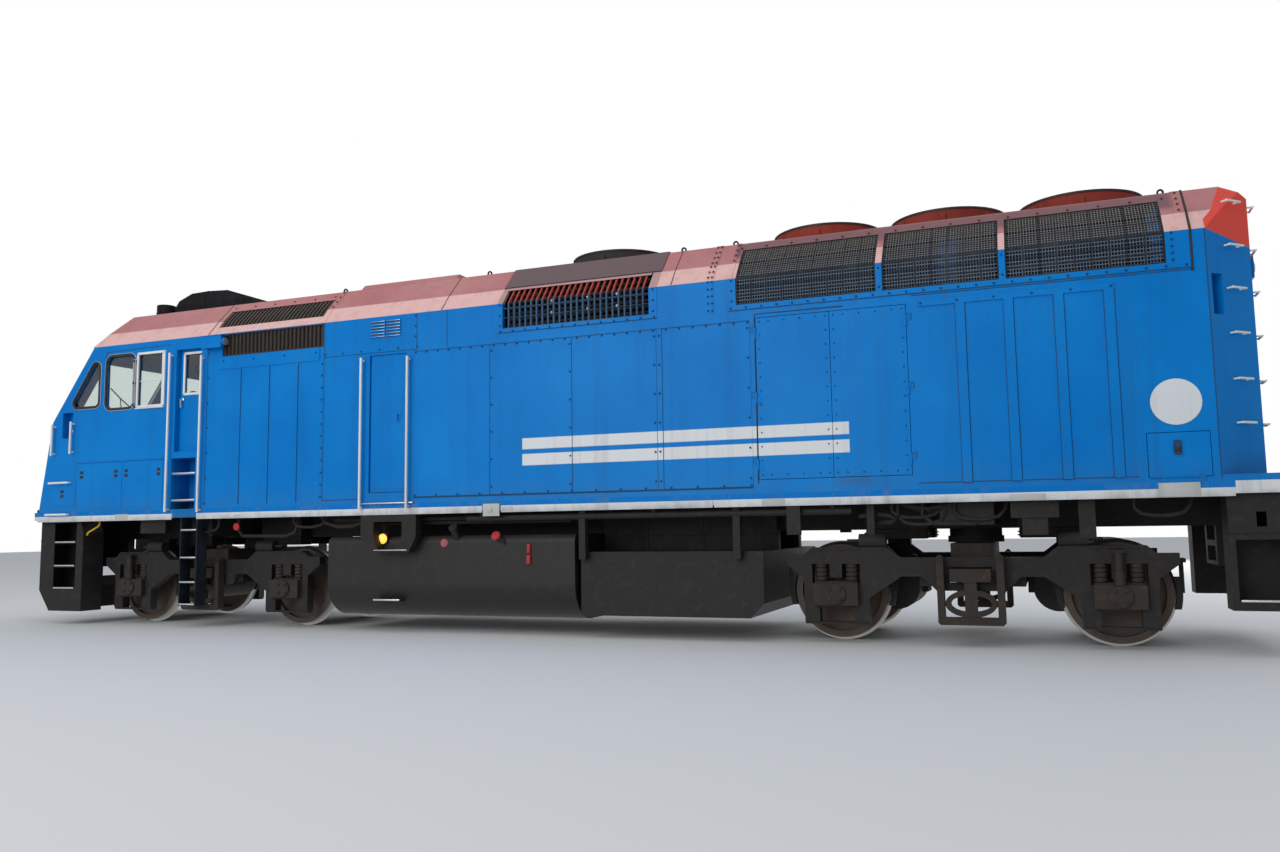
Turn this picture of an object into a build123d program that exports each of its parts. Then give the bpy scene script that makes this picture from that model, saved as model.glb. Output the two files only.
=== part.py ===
from build123d import *
import math
import os

# A four-axle passenger diesel locomotive with a full-width body and a sloped cab.
# Millimetres. +X is the cab end, +Y the left side, +Z up. The origin lies midway between
# the trucks on the centre line, at the height of the wheel flanges' lowest points.

# Clearances between pieces that rest on each other, turn in each other and swing past each other
SEAT = 0.3
PIN_GAP = 0.5
SWING_GAP = 6.0

# Running gear
FLANGE_DEPTH = 28.0
WHEEL_RADIUS = 508.0
AXLE_Z = FLANGE_DEPTH + WHEEL_RADIUS
TRUCK_X = 5029.0
HALF_WHEELBASE = 1371.5
WHEEL_BACK_Y = 681.0
WHEEL_WIDTH = 140.0
FLANGE_WIDTH = 32.0
RIM_DEPTH = 75.0
WEB = 30.0
HUB_RADIUS = 165.0
HUB_PROUD = 45.0
AXLE_RADIUS = 95.0
JOURNAL_RADIUS = 80.0
JOURNAL_END_Y = 1090.0

# Body
HALF_LENGTH = 8560.0
SIDE_Y = 1524.0
WALL = 60.0
SILL_BOTTOM = 1480.0
SILL_TOP = 1595.0
SILL_WIDTH = 144.0
DECK_Z = 1500.0
DECK_X = HALF_LENGTH - 630.0
END_BEAM = 60.0
END_BEAM_TOP = SILL_TOP + 45.0
END_BEAM_Y = 1440.0
JACK_PAD = dict(x=4300.0, length=260.0, width=120.0, thick=25.0, from_edge=12.0)
EAVE_Z = 3955.0
CREASE_Y = 1350.0
CREASE_Z = 4170.0
ROOF_EDGE_Y = 1065.0
ROOF_EDGE_Z = 4465.0
ROOF_TOP_Z = 4540.0
ROOF_SKIN = 45.0
CORNER_X = -7280.0
END_X = -7707.0
END_Y = SIDE_Y - (CORNER_X - END_X)
END_TOP_Z = 4300.0
END_HIP_X = END_X + 227.0
END_CROWN_X = END_HIP_X + 130.0

# Cab
CAB_REAR_X = 4740.0
NOSE_FOOT_X = 7880.0
NOSE_KNEE_X = 7667.0
NOSE_KNEE_Z = 2902.0
NOSE_EDGE = 30.0
BROW_X = 6895.0
HIP_X = 6640.0
CAB_FLOOR_Z = 2360.0
CAB_FLOOR = 50.0
CAB_FLOOR_X = 7600.0
CAB_DOOR_Y = 1400.0
CAB_DOOR_THICK = 45.0
JAMB = 45.0
GLASS = 12.0
GLASS_SINK = 20.0
WINDSCREEN = dict(y=650.0, width=1120.0, height=900.0, radius=70.0)
QUARTER_WINDOW = dict(front=7290.0, back=6740.0, low=3095.0, high=3735.0, rear_high=3690.0, brow=6835.0, radius=40.0)
# The cab's side windows by their ends along X, their bottom and top, and the radius of their corners
SIDE_WINDOWS = [
    dict(x0=6070.0, x1=6600.0, z0=3045.0, z1=3790.0, radius=80.0),
    dict(x0=5515.0, x1=6000.0, z0=3045.0, z1=3790.0, radius=15.0),
]
DOOR_WINDOW = dict(x0=4900.0, x1=5215.0, z0=3190.0, z1=3740.0)
STEP_WELL = dict(x0=4905.0, x1=5336.0, z0=SILL_TOP, depth=330.0, casing=20.0)
WELL_TREADS = [1695.0, 2060.0]
LADDER = dict(x0=4850.0, x1=5132.0, y0=1330.0, stile=20.0)
LADDER_TREADS = [297.0, 592.0, 920.0, 1290.0]
TREAD = 28.0
NOSE_POCKET = dict(x0=7235.0, x1=7440.0, z0=2660.0, z1=3030.0, depth=120.0, casing=20.0)
# Plates that stand proud of the cab's side: the equipment flaps and the nose's own
CAB_FLAPS = [
    dict(x0=5482.0, x1=6232.0, z0=1634.0, z1=2281.0),
    dict(x0=6238.0, x1=7101.0, z0=1634.0, z1=2281.0),
    dict(x0=7126.0, x1=7648.0, z0=1676.0, z1=2039.0),
]
FLAP_PROUD = 5.0

# Side openings, each by its ends along X and its bottom and top
CAB_DOOR = dict(x0=4846.0, x1=5297.0, z0=2380.0, z1=3796.0)
ENGINE_DOOR = dict(x0=1519.0, x1=2074.0, z0=1731.0, z1=3463.0)
COOLER_DOOR = dict(x0=-4543.0, x1=-2945.0, z0=1737.0, z1=3496.0)
LOCKER_FLAP = dict(x0=-7210.0, x1=-6679.0, z0=1640.0, z1=2060.0)
REAR_DOOR = dict(y0=-330.0, y1=330.0, z0=1660.0, z1=3520.0)
LEAF = 40.0
ENGINE_DOOR_SINK = 12.0
COOLER_SPLIT = -3750.0
HINGE_RADIUS = 9.0
HINGE_LENGTH = 60.0
HINGE_STRAP = 50.0
STRAP_THICK = 6.0
COOLER_HINGES = [1900.0, 2620.0, 3330.0]
FLAP_HINGES = [-7100.0, -6780.0]
HINGE_PIN = 10.0

# Ribs and plates on the engine room's side
NARROW_RIBS = dict(xs=[4160.0, 3680.0, 3210.0], width=24.0, proud=10.0, z0=1640.0, z1=3470.0)
WIDE_RIBS = dict(xs=[-5072.0, -5530.0, -5991.0, -6437.0], width=88.0, proud=15.0, z0=1650.0, z1=3470.0)
# Each plate by its ends along X, its bottom and top, and how proud it stands
SIDE_PLATES = [
    dict(x0=2856.0, x1=4540.0, z0=3465.0, z1=3632.0, proud=10.0),
    dict(x0=-6480.0, x1=-4665.0, z0=3455.0, z1=3515.0, proud=15.0),
    dict(x0=340.0, x1=1408.0, z0=1668.0, z1=3466.0, proud=5.0),
    dict(x0=-745.0, x1=334.0, z0=1668.0, z1=3466.0, proud=5.0),
    dict(x0=-1798.0, x1=-751.0, z0=1668.0, z1=3466.0, proud=5.0),
    dict(x0=-1864.0, x1=-1804.0, z0=1668.0, z1=3466.0, proud=9.0),
    dict(x0=-2885.0, x1=-1870.0, z0=1668.0, z1=3466.0, proud=5.0),
    dict(x0=-1816.0, x1=231.0, z0=3597.0, z1=EAVE_Z, proud=5.0),
    dict(x0=-7148.0, x1=-2652.0, z0=3597.0, z1=EAVE_Z, proud=5.0),
    dict(x0=-2484.0, x1=-2405.0, z0=3597.0, z1=EAVE_Z, proud=5.0),
]
# Raised bands over the roof by their ends along X and how proud they stand
ROOF_BANDS = [
    dict(x0=-2484.0, x1=-2405.0, proud=6.0),
    dict(x0=-2700.0, x1=-2652.0, proud=6.0),
    dict(x0=2790.0, x1=2840.0, proud=6.0),
    dict(x0=-7148.0, x1=-7060.0, proud=6.0),
]
BRAKE_COVER = dict(x0=-1816.0, x1=231.0, proud=14.0)
SMALL_LOUVRE = dict(x0=1610.0, x1=2058.0, z0=3693.0, z1=3925.0, slats=6, proud=16.0, split=12.0)
CAMERA_BOX = dict(x0=4408.0, x1=4735.0, z0=3750.0, z1=3915.0, deep=116.0, lens=55.0, nose=25.0)
BEVEL_RECESS = dict(a0=48.0, a1=190.0, z0=3145.0, z1=3530.0, depth=100.0, casing=15.0)
END_LAMP_BOX = dict(y0=560.0, y1=780.0, z0=3600.0, z1=3830.0, deep=80.0)
FASCIA = dict(thick=40.0, height=60.0)

# Vents under the eave
INTAKE = dict(x0=2799.0, x1=4483.0, z0=3640.0, z1=3945.0)
ROOF_INTAKE = dict(x0=2880.0, x1=4650.0, z0=4065.0, z1=4335.0)
INTAKE_RIB = dict(pitch=65.0, width=34.0, sink=12.0, deep=24.0, sheet=12.0)
BRAKE_GRID = dict(x0=-1716.0, x1=165.0, z0=3643.0, bars=25, width=20.0, deep=30.0, sink=8.0, tie_z=3886.0, tie=12.0)
GRILLES = [dict(x0=-4247.0, x1=-2737.0), dict(x0=-5458.0, x1=-4313.0), dict(x0=-6944.0, x1=-5520.0)]
GRILLE = dict(z0=3655.0, z1=4360.0, bay=167.0, rows=3, border=16.0, bar=10.0, thick=12.0, sink=10.0)

# Fans on the roof
FAN_XS = [-3480.0, -4880.0, -6290.0]
BRAKE_FAN_X = -775.0
FAN_RADIUS = 600.0
FAN_HEIGHT = 120.0
FAN_HUB = 120.0
FAN_PIN = 25.0
BLADES = dict(count=8, width=190.0, thick=8.0, pitch=28.0, root=20.0)
SHROUD_RADIUS = 640.0
SHROUD_WALL = 20.0
GUARD_TOP = 4725.0
SHROUD_TOP = GUARD_TOP - 22.0
SHROUD_LOW = SHROUD_TOP - 320.0
FAN_HUB_LOW = SHROUD_TOP - 140.0
FAN_ARM = dict(width=60.0, deep=50.0, pot=140.0)
GUARD = dict(wire=12.0, spokes=6, rings=[200.0, 320.0, 440.0], rim=28.0, lip=8.0)
RADIATOR_CORE = dict(z0=3500.0, z1=3640.0)

# Roof gear
HOOD = dict(half=600.0, top=4890.0, bevel_z=190.0, bevel_y=70.0)
# The hood's side view from rear to front
HOOD_OUTLINE = [
    dict(x=4855.0, z=4640.0),
    dict(x=4900.0, z=4712.0),
    dict(x=5400.0, z=4868.0),
    dict(x=5760.0, z=4890.0),
    dict(x=6075.0, z=4880.0),
    dict(x=6280.0, z=4775.0),
    dict(x=6325.0, z=4640.0),
]
HATCH = dict(x0=1240.0, x1=2740.0, half=820.0, top=4605.0, slope=60.0)
STACK = dict(xs=[1620.0, 2360.0], half_x=110.0, half_y=300.0, wall=14.0, top=4690.0)
HORN = dict(x=6545.0, y=560.0, radius=135.0, top=4720.0)
EYES = dict(xs=[-1937.0, -2578.0, -7000.0, 700.0, 2950.0], y=900.0, radius=34.0, thick=14.0, hole=16.0)

# Trucks: places along X from the truck's centre, and heights
CENTRE_PLATE_Z = 1110.0
CENTRE_PLATE_R = 300.0
FRAME = dict(y0=1010.0, y1=1130.0, top=1010.0, middle_top=900.0, low=560.0, rise=140.0, foot=225.0,
             tie=25.0, lip=14.0, arch=704.0, arch_x=480.0, haunch=482.0, haunch_x=700.0)
FRAME_ARM = dict(x=1905.0, z0=830.0, z1=935.0)
PEDESTAL = dict(gap=182.0, leg=345.0, ledge=625.0, window=255.0, roof=835.0, post=65.0, post_low=690.0)
TRANSOM = dict(x=430.0, half=90.0, z0=600.0, z1=780.0)
BOLSTER = dict(half_x=200.0, half_y=960.0, z0=700.0, z1=1040.0, arm_z0=655.0, arm_z1=785.0, arm_y=1255.0, room=15.0)
HANGER = dict(x=325.0, width=70.0, y0=1150.0, y1=1260.0, z0=225.0, top=928.0, pin_z=885.0, pin=22.0, ease=25.0)
LEAF_SPRING = dict(half=250.0, low=300.0, high=576.0, leaf=55.0, buckle=60.0, inset=15.0)
COIL = dict(x=160.0, radius=64.0, groove=14.0, turns=4)
JOURNAL_BOX = dict(half=176.0, z0=376.0, wing=225.0, wing_z=631.0, wing_top=650.0, face=235.0,
                   face_y=1200.0, inside=10.0, ease=24.0, cap_drop=15.0)
JOURNAL_CAP = dict(radius=105.0, proud=25.0)
SNUBBER = dict(y=1190.0, radius=40.0, body=52.0, middle=760.0, top=968.0, bracket=30.0)
BRAKE_CYLINDER = dict(x0=840.0, x1=1120.0, radius=75.0, bed=10.0, rod=20.0, rod_length=130.0)
SHOE = dict(gap=12.0, thick=55.0, half_angle=16.0, y0=726.0, y1=806.0, inset=25.0, hanger=40.0, hanger_z=880.0)
MOTOR = dict(x=830.0, radius=250.0, up=30.0, half_y=470.0, nose=525.0, nose_half=180.0, case=150.0,
             gear=330.0, gear_y=600.0)

# Below the deck
SILL_DROP_Z = 1190.0
CENTRE_SILL = dict(y=330.0, half=60.0)
BODY_BOLSTER = dict(half_x=260.0, half_y=1330.0, z0=1230.0, plate=280.0)
TANK = dict(x0=-690.0, x1=2800.0, z0=190.0, z1=SILL_DROP_Z - SEAT, half=1360.0, bend=430.0, shoulder=90.0)
TANK_STEP = dict(x0=1664.0, x1=2050.0, z0=393.0, z1=413.0, out=70.0)
BOX = dict(x0=-2920.0, x1=-760.0, z0=260.0, z1=980.0, half=1340.0, cut=160.0)
BOX_HANGER = dict(xs=[-820.0, -2656.0], half=40.0, y1=1440.0, z0=900.0)
BRACKET = dict(x0=1372.0, x1=2184.0, knee=1182.0, foot_x0=1479.0, foot_x1=2006.0, foot=993.0, y0=1410.0)
BRACKET_HOLE = dict(x0=1576.0, x1=1991.0, top=1370.0, knee=1196.0, foot_x0=1640.0, foot_x1=1925.0, foot=1020.0)
AIR_PIPE = dict(x0=-3900.0, x1=700.0, y=1420.0, z=1390.0, radius=36.0, clips=[-3700.0, -1700.0, 500.0], clip=40.0)
# Boxes and plates that hang under the side sills, by their corners
SILL_BOXES = [
    dict(x0=5507.0, x1=5961.0, y0=1335.0, y1=1430.0, z0=1273.0),
    dict(x0=-5890.0, x1=-5450.0, y0=1335.0, y1=1430.0, z0=1290.0),
    dict(x0=-5786.0, x1=-5551.0, y0=1350.0, y1=1410.0, z0=1124.0),
    dict(x0=-6211.0, x1=-6063.0, y0=1400.0, y1=1420.0, z0=1087.0),
    dict(x0=-4130.0, x1=-4055.0, y0=1380.0, y1=1440.0, z0=1142.0),
    dict(x0=-3375.0, x1=-3230.0, y0=1456.3, y1=1510.0, z0=1152.0),
]
FILLER_NECK = dict(x=900.0, y0=1250.0, z0=1060.0, y1=1420.0, z1=1270.0, radius=42.0, cap=34.0)

# Couplers
COUPLER_Z = 876.0 + FLANGE_DEPTH
COUPLER_PIVOT = HALF_LENGTH - 860.0
COUPLER_HALF = 75.0
COUPLER_PIN = 45.0
COUPLER_BOSS = 110.0
HEAD_HALF = 140.0
SHANK_HALF = 80.0
# The head's plan, each corner by its distance back from the coupling face and its place across
COUPLER_HEAD = [
    dict(back=320.0, y=-110.0),
    dict(back=220.0, y=-230.0),
    dict(back=80.0, y=-250.0),
    dict(back=0.0, y=-190.0),
    dict(back=90.0, y=-150.0),
    dict(back=140.0, y=-60.0),
    dict(back=120.0, y=40.0),
    dict(back=0.0, y=60.0),
    dict(back=0.0, y=170.0),
    dict(back=80.0, y=240.0),
    dict(back=220.0, y=200.0),
    dict(back=320.0, y=110.0),
]
POCKET = dict(length=350.0, y0=270.0, y1=390.0, floor=40.0, lid=60.0)

# Pilots
PILOT_X = NOSE_FOOT_X
PILOT_SHEET = 25.0
PILOT_Y = 1440.0
PILOT_GAP_Z = 640.0
STEP_SHEET = 16.0
STEP_IN_Y = 1100.0
FRONT_STEPS = dict(back=7040.0, top_cut=60.0, top_z=1300.0, w0=7173.0, w1=7610.0, w_top=1440.0, low=187.0,
                   knee=480.0, lean=205.0)
FRONT_TREADS = [490.0, 807.0, 1144.0]
REAR_STEPS = dict(back=7307.0, low=421.0, tread=514.0, w0=7360.0, w1=7820.0, w_top=1060.0, ledge=1121.0, proud=14.0)
REAR_RECESS = dict(x0=7534.0, x1=7616.0, z0=1177.0, z1=1312.0)
LIFT_BAR = dict(z=1180.0, out=70.0, radius=13.0, inner_y=420.0, y=1380.0, handle=180.0)

# Rails by their place along X, their ends and how far they stand off
UPRIGHT_RAILS = [
    dict(x=5364.0, z0=1560.0, z1=3750.0), dict(x=4795.0, z0=1547.0, z1=3676.0),
    dict(x=2166.0, z0=1520.0, z1=3436.0), dict(x=1476.0, z0=1530.0, z1=3409.0),
    dict(x=7580.0, z0=2412.0, z1=2866.0), dict(x=7205.0, z0=2427.0, z1=2891.0),
]
LEVEL_RAILS = [dict(z=2015.0, x0=7201.0, x1=7600.0, foot=FLAP_PROUD), dict(z=1560.0, x0=7212.0, x1=7640.0, foot=0.0)]
RAIL = dict(stand=60.0, radius=16.0, leg=13.0, inset=30.0)
GRAB = dict(zs=[2133.0, 2543.0, 2975.0, 3400.0, 3809.0, 4232.0], a0=240.0, a1=430.0, stand=60.0, radius=11.0, leg=9.0)
END_GRAB = dict(y0=850.0, y1=1040.0)

# Inside
DESKS = [
    dict(x0=6650.0, x1=7250.0, y0=-1300.0, y1=-250.0, z1=3050.0),
    dict(x0=6700.0, x1=7250.0, y0=350.0, y1=1300.0, z1=3000.0),
]
DESK_SLOPE = 120.0
SEATS = dict(x=5800.0, y=800.0, half=240.0, pan_z=2760.0, pan=20.0, pad=110.0, back=115.0, back_half=330.0,
             back_top=3330.0, post=60.0, soft=25.0)
ENGINE = dict(x0=-1600.0, x1=3300.0, half=560.0, z1=3100.0)

# Lamps
HEADLAMP = dict(y=120.0, radius=80.0, proud=60.0, up=250.0, rim=30.0)
NOSE_LAMP = dict(z=2720.0, radius=105.0, proud=30.0)
DITCH_LAMP = dict(y=1180.0, z=1760.0, radius=85.0, deep=60.0)


def block(x0, x1, y0, y1, z0, z1):
    """A box between two corners."""
    centre = Pos((x0 + x1) / 2, (y0 + y1) / 2, (z0 + z1) / 2)
    return centre * Box(abs(x1 - x0), abs(y1 - y0), abs(z1 - z0))


def rod(start, end, radius):
    """A round bar from one point to another."""
    line = Vector(*end) - Vector(*start)
    return Part() + Solid.make_cylinder(radius, line.length, Plane(origin=start, z_dir=line.normalized()))


def side_prism(points, y0, y1):
    """An outline drawn in X and Z, as deep as from y0 to y1."""
    plane = Plane(origin=(0, y0, 0), x_dir=(1, 0, 0), z_dir=(0, -1, 0))
    return extrude(plane * make_face(Polyline(*points, close=True)), amount=-(y1 - y0))


def cross_prism(points, x0, x1):
    """An outline drawn in Y and Z, as long as from x0 to x1."""
    plane = Plane(origin=(x0, 0, 0), x_dir=(0, 1, 0), z_dir=(1, 0, 0))
    return extrude(plane * make_face(Polyline(*points, close=True)), amount=x1 - x0)


def plan_prism(points, z0, z1):
    """An outline drawn in X and Y, as tall as from z0 to z1."""
    return extrude(Plane.XY.offset(z0) * make_face(Polyline(*points, close=True)), amount=z1 - z0)


def mirrored_outline(half):
    """A whole outline from the half of it that lies on the positive side."""
    return half + [(-a, b) for a, b in reversed(half) if a > 0]


def both(shape):
    """A shape and its mirror image on the other side of the locomotive."""
    return shape + mirror(shape, about=Plane.XZ)


def other_side(shape):
    """The mirror image on the locomotive's right side."""
    return mirror(shape, about=Plane.XZ)


def other_end(shape):
    """The mirror image at the locomotive's rear end."""
    return mirror(shape, about=Plane.YZ)


# Outlines that the body's pieces share
def roof_outline(inset):
    """Half of the roof's section from the eave to the centre line, drawn in Y and Z."""
    return [
        (SIDE_Y - inset, EAVE_Z),
        (CREASE_Y - inset * 0.9, CREASE_Z - inset * 0.4),
        (ROOF_EDGE_Y - inset * 0.6, ROOF_EDGE_Z - inset * 0.9),
        (0.0, ROOF_TOP_Z - inset * 1.2),
    ]


def roof_prism(inset, x0, x1):
    """The roof's whole section, lowered by inset, as long as from x0 to x1."""
    return cross_prism(mirrored_outline(roof_outline(inset)), x0, x1)


def roof_side_y(z):
    """How far out the roof's outer face lies at a height between the eave and the roof's edge."""
    if z < CREASE_Z:
        return SIDE_Y + (CREASE_Y - SIDE_Y) * (z - EAVE_Z) / (CREASE_Z - EAVE_Z)
    return CREASE_Y + (ROOF_EDGE_Y - CREASE_Y) * (z - CREASE_Z) / (ROOF_EDGE_Z - CREASE_Z)


def roof_top_z(y):
    """The roof's height at a distance from the centre line, between its two edges."""
    return ROOF_TOP_Z - (ROOF_TOP_Z - ROOF_EDGE_Z) * abs(y) / ROOF_EDGE_Y


def cab_slope(setback):
    """All that lies ahead of the sloping faces of the nose, windscreen and brow, set back by a distance."""
    beyond = 200.0
    points = [
        (NOSE_FOOT_X - setback, SILL_TOP - beyond),
        (NOSE_FOOT_X - setback, SILL_TOP),
        (NOSE_KNEE_X - setback, NOSE_KNEE_Z),
        (BROW_X - setback, EAVE_Z),
        (HIP_X - setback, ROOF_EDGE_Z),
        (HIP_X - setback - beyond / 2, ROOF_TOP_Z + beyond),
        (HALF_LENGTH, ROOF_TOP_Z + beyond),
        (HALF_LENGTH, SILL_TOP - beyond),
    ]
    return side_prism(points, -SIDE_Y - beyond, SIDE_Y + beyond)


# Wheelsets
def wheelset(x):
    """Two flanged wheels pressed on one axle."""
    back, out = WHEEL_BACK_Y, WHEEL_BACK_Y + WHEEL_WIDTH
    rim = WHEEL_RADIUS - RIM_DEPTH
    web_in = (back + out - WEB) / 2
    cone = FLANGE_DEPTH / 4
    profile = [
        (0, 0),
        (0, JOURNAL_END_Y),
        (JOURNAL_RADIUS, JOURNAL_END_Y),
        (JOURNAL_RADIUS, out + HUB_PROUD),
        (HUB_RADIUS - cone, out + HUB_PROUD),
        (HUB_RADIUS, web_in + WEB),
        (rim, web_in + WEB + cone),
        (rim, out),
        (WHEEL_RADIUS - cone, out),
        (WHEEL_RADIUS, back + FLANGE_WIDTH),
        (WHEEL_RADIUS + FLANGE_DEPTH, back + FLANGE_WIDTH / 2),
        (WHEEL_RADIUS + FLANGE_DEPTH - cone, back),
        (rim, back),
        (rim, web_in + cone),
        (HUB_RADIUS, web_in),
        (HUB_RADIUS - cone, back - HUB_PROUD),
        (AXLE_RADIUS, back - HUB_PROUD),
        (AXLE_RADIUS, 0),
    ]
    plane = Plane(origin=(x, 0, AXLE_Z), x_dir=(1, 0, 0), z_dir=(0, 0, 1))
    half = revolve(plane * make_face(Polyline(*profile, close=True)), axis=Axis((x, 0, AXLE_Z), (0, 1, 0)))
    return half + other_side(half)


# Truck parts, made about the truck's own centre and then moved to their place
def truck_side_frame():
    """The cast side frame: a pedestal with two windows over each axle, and a dropped middle."""
    hb, f, p, arm = HALF_WHEELBASE, FRAME, PEDESTAL, FRAME_ARM
    half = [
        (0, f["middle_top"]), (BRAKE_CYLINDER["x0"] - f["rise"], f["middle_top"]), (BRAKE_CYLINDER["x0"], f["top"]),
        (hb + p["window"], f["top"]), (hb + p["leg"], arm["z1"]), (arm["x"], arm["z1"]), (arm["x"], arm["z0"]),
        (hb + p["leg"], arm["z0"] - f["rise"]), (hb + p["leg"], f["foot"]), (hb + p["gap"], f["foot"]),
        (hb + p["gap"], p["ledge"]), (hb + p["window"], p["ledge"]), (hb + p["window"], p["roof"]),
        (hb + p["post"], p["roof"]), (hb + p["post"], p["post_low"]), (hb - p["post"], p["post_low"]),
        (hb - p["post"], p["roof"]), (hb - p["window"], p["roof"]), (hb - p["window"], p["ledge"]),
        (hb - p["gap"], p["ledge"]), (hb - p["gap"], f["foot"]), (hb - p["leg"], f["foot"]),
        (hb - p["leg"], f["haunch"]), (f["haunch_x"], f["arch"]), (f["arch_x"], f["arch"]),
        (f["arch_x"] - f["rise"], f["low"]), (0, f["low"]),
    ]
    frame = side_prism(mirrored_outline(half), f["y0"], f["y1"])
    b = BOLSTER
    reach, room = b["half_x"] + b["room"], b["room"]
    return frame - block(-reach, reach, f["y0"] - 1, f["y1"] + 1, b["arm_z0"] - room, b["arm_z1"] + room)


def pedestal_ties():
    """The tie bar under each pedestal and the lip along the top of the side frame."""
    hb, f, p = HALF_WHEELBASE, FRAME, PEDESTAL
    ties = Part()
    for x in (-hb, hb):
        y0, y1, lip = f["y0"], f["y1"], f["lip"]
        ties += block(x - p["leg"], x + p["leg"], y0 + lip, y1 - lip, f["foot"] - f["tie"], f["foot"])
        ties += block(x - p["window"], x + p["window"], y0 - lip, y1 + lip, f["top"] - f["tie"], f["top"])
    return ties


def hanger_pins():
    """The four pins from which the swing hangers of one side hang."""
    h = HANGER
    middle = h["x"] - h["width"] / 2
    pins = Part()
    for x in (-middle, middle):
        pins += rod((x, FRAME["y1"] - 1, h["pin_z"]), (x, h["y1"] + h["pin"] / 2, h["pin_z"]), h["pin"])
    return pins


def brake_cylinders():
    """The brake cylinders on top of the side frame, each with its push rod."""
    c = BRAKE_CYLINDER
    middle_y = (FRAME["y0"] + FRAME["y1"]) / 2
    z = FRAME["top"] + c["radius"] - c["bed"]
    shapes = Part()
    for side in (-1, 1):
        start, end = side * c["x0"], side * c["x1"]
        shapes += rod((start, middle_y, z), (end, middle_y, z), c["radius"])
        shapes += rod((end, middle_y, z), (end + side * c["rod_length"], middle_y, z), c["rod"])
    return shapes


def brake_heads():
    """Shoes and their hangers on both sides of each wheel, just clear of the tread."""
    s = SHOE
    inner = WHEEL_RADIUS + s["gap"]
    outer = inner + s["thick"]
    ring = Cylinder(outer, s["y1"] - s["y0"]) - Cylinder(inner, s["y1"] - s["y0"])
    ring = Rot(90, 0, 0) * ring
    reach = outer * math.sin(math.radians(s["half_angle"]))
    heads = Part()
    for axle in (-HALF_WHEELBASE, HALF_WHEELBASE):
        place = Pos(axle, (s["y0"] + s["y1"]) / 2, AXLE_Z) * ring
        for side in (-1, 1):
            near, far = axle + side * inner * 0.9, axle + side * (outer + 1)
            heads += place & block(near, far, s["y0"], s["y1"], AXLE_Z - reach, AXLE_Z + reach)
            back = axle + side * outer
            heads += block(back - side * s["hanger"] / 2, back + side * s["hanger"] / 2, s["y0"] + s["inset"],
                           s["y1"] - s["inset"], AXLE_Z, s["hanger_z"])
            end = 1 if axle > 0 else -1
            bar_in, bar_out = min(abs(back), FRAME_ARM["x"]) - s["hanger"], abs(back) + s["hanger"] / 2
            heads += block(end * bar_in, end * bar_out, s["y0"] + s["inset"], FRAME["y0"] + 1,
                           s["hanger_z"] - s["hanger"], s["hanger_z"])
    return heads


def truck_frame():
    """Two side frames with their fittings, tied by two transoms."""
    t = TRANSOM
    side = truck_side_frame() + pedestal_ties() + hanger_pins() + brake_cylinders() + brake_heads()
    s = SNUBBER
    frame_face = FRAME["y1"]
    side += block(HALF_WHEELBASE - s["body"], HALF_WHEELBASE + s["body"], frame_face - 1, s["y"] + s["radius"],
                  s["top"] - s["bracket"], s["top"])
    frame = both(side)
    for x in (-t["x"], t["x"]):
        frame += block(x - t["half"], x + t["half"], -FRAME["y0"], FRAME["y0"], t["z0"], t["z1"])
    return frame


def bolster():
    """The bolster with its centre bowl and the arms that rest on the leaf springs."""
    b, spring, h = BOLSTER, LEAF_SPRING, HANGER
    shape = block(-b["half_x"], b["half_x"], -b["half_y"], b["half_y"], b["z0"], b["z1"])
    plate_top = CENTRE_PLATE_Z - PIN_GAP
    shape += Pos(0, 0, (b["z1"] + plate_top) / 2) * Cylinder(CENTRE_PLATE_R, plate_top - b["z1"])
    arm = block(-b["half_x"], b["half_x"], b["half_y"] - 1, b["arm_y"], b["arm_z0"], b["arm_z1"])
    arm += block(-spring["buckle"], spring["buckle"], h["y0"] + spring["inset"], h["y1"] - spring["inset"],
                 spring["high"] + SEAT, b["arm_z0"])
    return shape + both(arm)


def swing_hanger():
    """The U-shaped swing hanger of one side with the elliptic leaf spring that stands in it."""
    h, spring = HANGER, LEAF_SPRING
    inner = h["x"] - h["width"]
    outline = [
        (h["x"], h["z0"] + h["ease"]), (h["x"], h["top"] - h["ease"]), (h["x"] - h["ease"], h["top"]),
        (inner + h["ease"], h["top"]), (inner, h["top"] - h["ease"]), (inner, spring["low"]), (0, spring["low"]),
    ]
    lower = [(0, h["z0"]), (h["x"] - h["ease"], h["z0"])]
    hanger = side_prism(mirrored_outline(lower + outline), h["y0"], h["y1"])
    for x in (-(h["x"] + inner) / 2, (h["x"] + inner) / 2):
        hanger -= rod((x, h["y0"] - 1, h["pin_z"]), (x, h["y1"] + 1, h["pin_z"]), h["pin"] + PIN_GAP)
    high, half = (spring["high"] - spring["low"]) / 2, spring["half"]
    middle = (spring["high"] + spring["low"]) / 2
    leaves = Ellipse(half, high) - Ellipse(half - spring["leaf"], high - spring["leaf"])
    leaves += Rectangle(2 * spring["buckle"], 2 * high)
    y0, y1 = h["y0"] + spring["inset"], h["y1"] - spring["inset"]
    plane = Plane(origin=(0, y0, middle + SEAT / 2), x_dir=(1, 0, 0), z_dir=(0, -1, 0))
    stack = extrude(plane * leaves, amount=-(y1 - y0))
    return hanger + stack


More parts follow.
